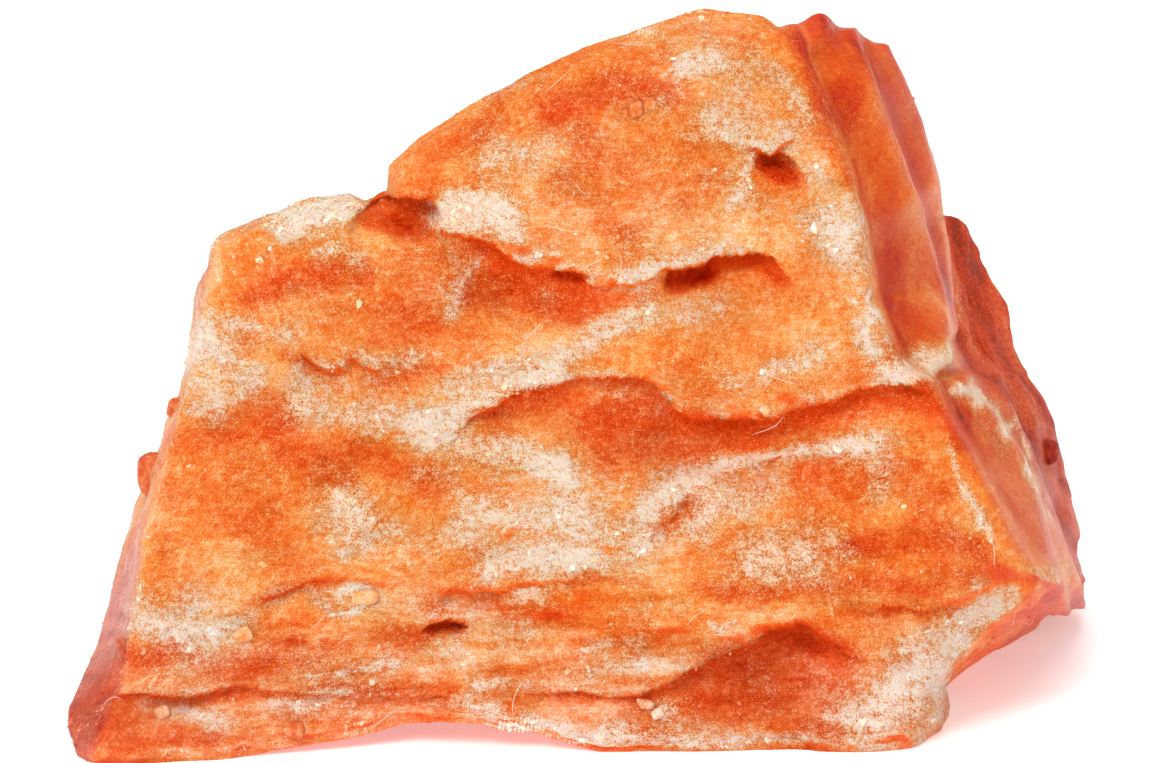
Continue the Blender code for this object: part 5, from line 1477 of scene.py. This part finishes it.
CRUMB_PALER = np.array((-0.2, -0.1, 0.0, 0.06, 0.06, 0.1, 0.0, -0.05, 0.05, 0.06, 0.05, 0.28, 0.28))
CRUMB_REDDER = np.array((0.8, 0.6, 0.4, 0.0, 0.0, 0.0, 0.2, 0.2, 0.0, 0.0, 0.0, 0.0, 0.0))
CRUMB_SUNK = 0.12
CRUMB_POWER = 0.6
CRUMB_WEAR = ((0.8, 0.34), (0.35, 0.12))
CRUMB_NEAR = 0.4
CRUMB_RINGS = 24
CRUMB_COLUMNS = 36


# %% A worn block
def ring_faces(rings, columns):
    """Faces of a closed stack of rings, whose first and last points are the two poles."""
    corners = 1 + np.arange(rings * columns).reshape(rings, columns)
    beside_it = np.roll(corners, -1, axis=1)
    sides = np.stack((corners[:-1], beside_it[:-1], beside_it[1:], corners[1:]), axis=-1)
    first = np.stack((0 * corners[0], beside_it[0], corners[0]), axis=-1)
    last = np.stack((corners[-1], beside_it[-1], 0 * corners[-1] + rings * columns + 1), axis=-1)
    return first, sides.reshape(-1, 4), last


def block(rings, columns):
    """A ball squared up: each sine and cosine keeps its sign and is raised to CRUMB_POWER."""
    tall = np.linspace(-math.pi / 2.0, math.pi / 2.0, rings + 2)[1:-1]
    round_it = np.arange(columns) * 2.0 * math.pi / columns
    tall, round_it = (grid.ravel() for grid in np.meshgrid(tall, round_it, indexing="ij"))
    squared = [np.sign(wave) * abs(wave) ** CRUMB_POWER
               for wave in (np.cos(tall), np.sin(tall), np.cos(round_it), np.sin(round_it))]
    sides = np.stack((squared[0] * squared[2], squared[0] * squared[3], squared[1]), axis=1)
    return np.concatenate((((0.0, 0.0, -1.0),), sides, ((0.0, 0.0, 1.0),))) / 2.0


# %% One crumb on the stone
def crumb(start, way, length, height, thickness, turn, order):
    """A worn block on the point where the line meets the stone, its thickness along the line."""
    start, way = np.array(start), np.array(way)
    travel = (sheet - start) @ way
    off_line = np.linalg.norm(sheet - start - travel[:, None] * way, axis=1)
    near = np.where(off_line < off_line.min() + CRUMB_NEAR)[0]
    meeting = near[travel[near].argmin()]
    rise = np.array((0.0, 1.0, 0.0))
    beside_it = np.cross(rise, -way)
    spin = math.radians(turn)
    right = beside_it * math.cos(spin) + rise * math.sin(spin)
    above = rise * math.cos(spin) - beside_it * math.sin(spin)
    around = np.stack((right * length, above * height, -way * thickness))
    shape = block(CRUMB_RINGS, CRUMB_COLUMNS)
    wear = waves(shape + 10.0 * order, CRUMB_WEAR, seed=160 + order)
    worn = shape * (1.0 + wear)[:, None]
    return sheet[meeting] + way * thickness * CRUMB_SUNK + worn @ around, meeting


# %% All the crumbs, in one mesh
def add_piece(name, points, faces):
    """A new mesh, moved as the stone was, that rides on the stone."""
    made = add_mesh(name, to_world(points) + (*shift, 0.0), faces)
    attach(made, "root")
    return made


def repeated(faces, count, corners):
    """The same faces for each of many shapes, counted on by the number of corners of each."""
    firsts = corners * np.arange(count)[:, None, None]
    return [(group[None] + firsts).reshape(-1, group.shape[1]) for group in faces]


def share_values(made, picked, each, paler, redder):
    """Each shape takes the paleness and hue of the point of the stone it is on."""
    keep_value(made, "pale", np.repeat(np.clip(pale[picked] + paler, 0.0, 1.0), each))
    keep_value(made, "red", np.repeat(np.clip(red[picked] + redder, 0.0, 1.0), each))
    keep_value(made, "rosy", np.repeat(rosy[picked], each))


grown = [crumb(*shape, order) for order, shape in enumerate(CRUMBS.values())]
crumb_points = np.concatenate([points for points, _ in grown])
corners_each = len(grown[0][0])
crumb_faces = repeated(ring_faces(CRUMB_RINGS, CRUMB_COLUMNS), len(CRUMBS), corners_each)
crumbs = add_piece("crumbs", crumb_points, crumb_faces)
crumb_places = np.array([meeting for _, meeting in grown])
share_values(crumbs, crumb_places, corners_each, CRUMB_PALER, CRUMB_REDDER)
print(len(CRUMBS), "crumbs")

# %% [markdown]
# ## Grains and flakes by the thousand
#
# Where the crust is sugary it sheds grains.  Each grain is a pair of pyramids set base to base,
# with its corners moved at random, and each flake is a flatter pair with six sides.  All the
# grains are worked out at once, as one array with a row for each, and joined in one mesh.
# Their places are drawn from the points of the stone, and frosted places are drawn more often.

# %% Where grains are shed
SHED_CLUMPS = ((2.4, 0.8), (0.8, 0.5))
SHED_EASE = (0.0, 0.9)
SHED_ANYWHERE = 0.03
SHED_POWER = 1.5
SHED_FROM_RIMS = 0.3
SHED_ABOVE = 0.3
WALL_KEEPS = 0.8

chance = np.random.default_rng(7)
clump_noise = ramp(waves(sheet, SHED_CLUMPS, seed=171), *SHED_EASE)
shed = SHED_ANYWHERE + np.clip(frost, 0.0, 1.0) ** SHED_POWER + SHED_FROM_RIMS * pale_rims_and_highlights
shed *= clump_noise
shed *= (np.linalg.norm(sheet - CORE, axis=1) * (world[:, 2] > SHED_ABOVE)
         * (1.0 - WALL_KEEPS * right_wall))
print("the likeliest point sheds", (shed.max() / shed.mean()).round(1), "times the mean")

# %% Pairs of pyramids
TILT = 0.25
SIZE_POWER = 4.0
REACH_SPREAD = (0.6, 1.3)
RING_FLAT = 0.7
RING_SPREAD = (-0.25, 0.25)
TIP_SPREAD = (0.6, 1.2)
LIFTED = 0.2


def scatter(count, sides, wide, tall):
    """Pairs of pyramids on random points: a ring of sides, and a tip on each side of it."""
    picked = chance.choice(len(sheet), count, p=shed / shed.sum())
    up_way = unit(facings[picked] + chance.normal(0.0, TILT, (count, 3)))
    along_way = unit(np.cross(up_way, chance.normal(0.0, 1.0, (count, 3))))
    over_way = np.cross(up_way, along_way)
    size = wide[0] + (wide[1] - wide[0]) * chance.random((count, 1)) ** SIZE_POWER
    angle = np.arange(sides) * 2.0 * math.pi / sides
    reach = size * chance.uniform(*REACH_SPREAD, (count, sides))
    rise = reach * chance.uniform(*RING_SPREAD, (count, sides))
    ring = (along_way[:, None] * (reach * np.cos(angle))[..., None]
            + over_way[:, None] * (reach * np.sin(angle) * RING_FLAT)[..., None]
            + up_way[:, None] * rise[..., None])
    spikes = size * tall * chance.uniform(*TIP_SPREAD, (count, 2)) * (1.0, -1.0)
    tips = up_way[:, None] * spikes[..., None]
    middle = sheet[picked] + up_way * size * tall * LIFTED
    return (middle[:, None] + np.concatenate((ring, tips), axis=1)).reshape(-1, 3), picked


def pyramid_faces(sides):
    """Triangles from each side of the ring to the tip above it and the tip below it."""
    side = np.arange(sides)
    following = (side + 1) % sides
    above = np.stack((side, following, 0 * side + sides), axis=-1)
    below = np.stack((following, side, 0 * side + sides + 1), axis=-1)
    return (np.concatenate((above, below)),)


# %% Grains and flakes
# For each: how many, sides, least and most reach in millimetres, and height for its reach.
SMALL_PIECES = {
    "grains": (9000, 4, (0.05, 0.18), 0.8),
    "flakes": (1600, 6, (0.10, 0.36), 0.2),
}
PALER_SPREAD = (0.0, 0.28)
GRAIN_REDDER = 0.2

loose = []
for name, (count, sides, wide, tall) in SMALL_PIECES.items():
    points, picked = scatter(count, sides, wide, tall)
    made = add_piece(name, points, repeated(pyramid_faces(sides), count, sides + 2))
    made.data.shade_flat()
    share_values(made, picked, sides + 2, chance.uniform(*PALER_SPREAD, count), GRAIN_REDDER)
    loose.append(made)
    print(count, name)

# %% [markdown]
# ## Lint
#
# A few pale hairs of lint cling to the rough places.  Each is a bent line that starts along the
# surface and curls away from it, with a ring of six points round every place on it, and rings
# that shrink to nothing at both ends.

# %% Hairs
HAIRS = 45
HAIR_PLACES = 14
HAIR_SIDES = 6
HAIR_LENGTH = (0.9, 3.6)
HAIR_BEND = (-0.9, 0.9)
HAIR_TWIST = (2.0, 6.0)
HAIR_RADIUS = 0.022
HAIR_BOW = 0.8
HAIR_CURL = 0.08
HAIR_START = 0.05
HAIR_LIFT = 0.25
HAIR_LEAST_ARCH = 0.4


def hairs():
    """Tubes round bent lines: lengthwise, a curl, and a small arch away from the stone."""
    picked = chance.choice(len(sheet), HAIRS, p=shed / shed.sum())
    start, away = sheet[picked][:, None], facings[picked][:, None]
    along_way = unit(np.cross(away, chance.normal(0.0, 1.0, (HAIRS, 1, 3))))
    aside = np.cross(away, along_way)
    part = np.linspace(0.0, 1.0, HAIR_PLACES)[None, :, None]
    length, bend, twist = (chance.uniform(low, high, (HAIRS, 1, 1))
                           for low, high in (HAIR_LENGTH, HAIR_BEND, HAIR_TWIST))
    arch = HAIR_LIFT * np.sin(math.pi * part) * (HAIR_LEAST_ARCH + abs(bend))
    line = (start + along_way * length * part
            + aside * length * bend * part * (1.0 - part) * HAIR_BOW
            + aside * HAIR_CURL * length * np.sin(twist * part)
            + away * (HAIR_START + arch))
    turn = (np.arange(HAIR_SIDES) * 2.0 * math.pi / HAIR_SIDES)[:, None]
    radius = HAIR_RADIUS * np.sqrt(np.sin(math.pi * part[:, 1:-1]))[..., None]
    ring = (aside[:, :, None] * np.cos(turn) + away[:, :, None] * np.sin(turn)) * radius
    tubes = (line[:, 1:-1, None] + ring).reshape(HAIRS, -1, 3)
    return np.concatenate((line[:, :1], tubes, line[:, -1:]), axis=1)


tubes = hairs()
hair_faces = repeated(ring_faces(HAIR_PLACES - 2, HAIR_SIDES), HAIRS, tubes.shape[1])
lint = add_piece("lint", tubes.reshape(-1, 3), hair_faces)
print(HAIRS, "hairs of lint")

# %% [markdown]
# ## Finishes of the small pieces
#
# Crumbs and grains are the same mineral, so they look up the same colour group, with the values
# that they took from the stone under them.  A crumb is large enough to need grain and a bump of
# its own, and a loose grain is one crystal, so it has neither.  Lint is plain pale fibre.

# %% Materials of the small pieces
CRUMB_GRAIN_SIZE = 0.14
CRUMB_BUMP = 0.8
LINT_COLOUR = (244, 226, 212)


def crumb_material():
    """The stone's colour with fine grain and clumps added to the paleness, and a bump."""
    material, tree, surface = new_material("crumbs_of_stone")
    pale_here, red_here, rosy_here = attributes(tree, "pale", "red", "rosy")
    grain = use_group(tree, sugar, Vector=millimetres(tree), Size=CRUMB_GRAIN_SIZE)
    stirred = weighted(tree, (grain["Fine"], FINE_SHARE), (grain["Clumps"], 1.0), (pale_here, 1.0))
    bump = add_node(tree, "ShaderNodeBump", {"Height": grain["Fine"], "Strength": CRUMB_BUMP,
                                             "Distance": BUMP_HEIGHT * MM})
    colours = use_group(tree, mineral, Pale=stirred, Red=red_here, Rosy=rosy_here)
    feed(tree, surface.inputs, {"Base Color": colours["Color"], "Normal": bump.outputs["Normal"],
                                "Roughness": 0.4, "Specular IOR Level": 0.3})
    return material


def grain_material():
    """The stone's colour alone: every grain or flake has one paleness of its own."""
    material, tree, surface = new_material("loose_grains")
    pale_here, red_here, rosy_here = attributes(tree, "pale", "red", "rosy")
    colours = use_group(tree, mineral, Pale=pale_here, Red=red_here, Rosy=rosy_here)
    feed(tree, surface.inputs, {"Base Color": colours["Color"], "Roughness": 0.35,
                                "Specular IOR Level": 0.4})
    return material


def lint_material():
    """One pale, dull colour."""
    material, tree, surface = new_material("white_lint")
    feed(tree, surface.inputs, {"Base Color": colour(*LINT_COLOUR), "Roughness": 0.6})
    return material


lint.data.materials.append(lint_material())
crumbs.data.materials.append(crumb_material())
for made in loose:
    made.data.materials.append(grain_material())
print(len(bpy.data.materials), "materials so far")

# %% [markdown]
# ## The camera
#
# The camera looks down by the lean of the front face, so that the front is seen square on.  A
# very long lens from far away keeps near and far parts of the stone at one scale, so its
# proportions are seen as they are.

# %% A long lens, square to the front
VIEW_WIDTH = 89.4
VIEW_MIDDLE = (-0.5, 28.83)
LENS = 900.0
SENSOR = 36.0
FARTHEST_SEEN = 20.0


def face_along(thing, way):
    """Turn a lamp or a camera, which look down their own -Z, along a direction."""
    thing.rotation_euler = Vector(way).to_track_quat("-Z", "Y").to_euler()


aim = to_world(np.array(((*VIEW_MIDDLE, 0.0),)))[0] + (*shift, 0.0)
towards_viewer = to_world(np.array(((0.0, 0.0, 1.0),)))[0]
distance = VIEW_WIDTH / SENSOR * LENS
camera = bpy.data.objects.new("camera", bpy.data.cameras.new("camera"))
bpy.context.scene.collection.objects.link(camera)
camera.data.lens = LENS
camera.data.sensor_width = SENSOR
camera.data.clip_end = FARTHEST_SEEN
camera.location = (aim + towards_viewer * distance) * MM
face_along(camera, -towards_viewer)
bpy.context.scene.camera = camera
print("the camera stands", round(distance * MM, 2), "m away")

# %% [markdown]
# ## The floor
#
# A plain white sheet of paper, far larger than the view.  It shines a little by itself, so that
# it stays white where the lamps don't reach and fills the shadows under the lips from below.

# %% White paper
FLOOR_SIDE = 6000.0
FLOOR_WHITE = (0.95, 0.95, 0.95, 1.0)
FLOOR_GLOW = 0.32
WHITE = (1.0, 1.0, 1.0, 1.0)

half = FLOOR_SIDE / 2.0
floor_corners = np.array(((-half, -half, 0.0), (half, -half, 0.0), (half, half, 0.0), (-half, half, 0.0)))
floor = add_mesh("floor", floor_corners, (np.array(((0, 1, 2, 3),)),))
paper, paper_tree, paper_surface = new_material("white_paper")
feed(paper_tree, paper_surface.inputs, {"Base Color": FLOOR_WHITE, "Roughness": 0.9,
                                        "Emission Color": WHITE, "Emission Strength": FLOOR_GLOW})
floor.data.materials.append(paper)
print("the floor is", FLOOR_SIDE * MM, "m on a side")

# %% [markdown]
# ## The lights
#
# Soft, even light suits a cloudy stone.  A large softbox stands to the left in front, a larger
# one hangs above, a weak one lights the right-hand walls from behind, and the whole room is
# faintly white.  Each has its place and size in millimetres and its power in watts.

# %% Three softboxes and a pale room
SOFTBOXES = {
    "key": ((-350.0, -600.0, 700.0), 500.0, 6.3),
    "top": ((100.0, 100.0, 900.0), 700.0, 3.0),
    "side": ((700.0, 350.0, 350.0), 300.0, 0.6),
}
LIT_HEIGHT = 30.0
ROOM_LIGHT = 0.55

for name, (place, size, power) in SOFTBOXES.items():
    lamp = bpy.data.lights.new(name, "AREA")
    lamp.size = size * MM
    lamp.energy = power
    made = bpy.data.objects.new(name, lamp)
    bpy.context.scene.collection.objects.link(made)
    made.location = np.array(place) * MM
    face_along(made, (-place[0], -place[1], LIT_HEIGHT - place[2]))
room = bpy.data.worlds.new("soft_room")
room.use_nodes = True
feed(room.node_tree, room.node_tree.nodes["Background"].inputs,
     {"Color": WHITE, "Strength": ROOM_LIGHT})
bpy.context.scene.world = room
bpy.context.scene.view_settings.view_transform = "Standard"
print(len(SOFTBOXES), "softboxes")
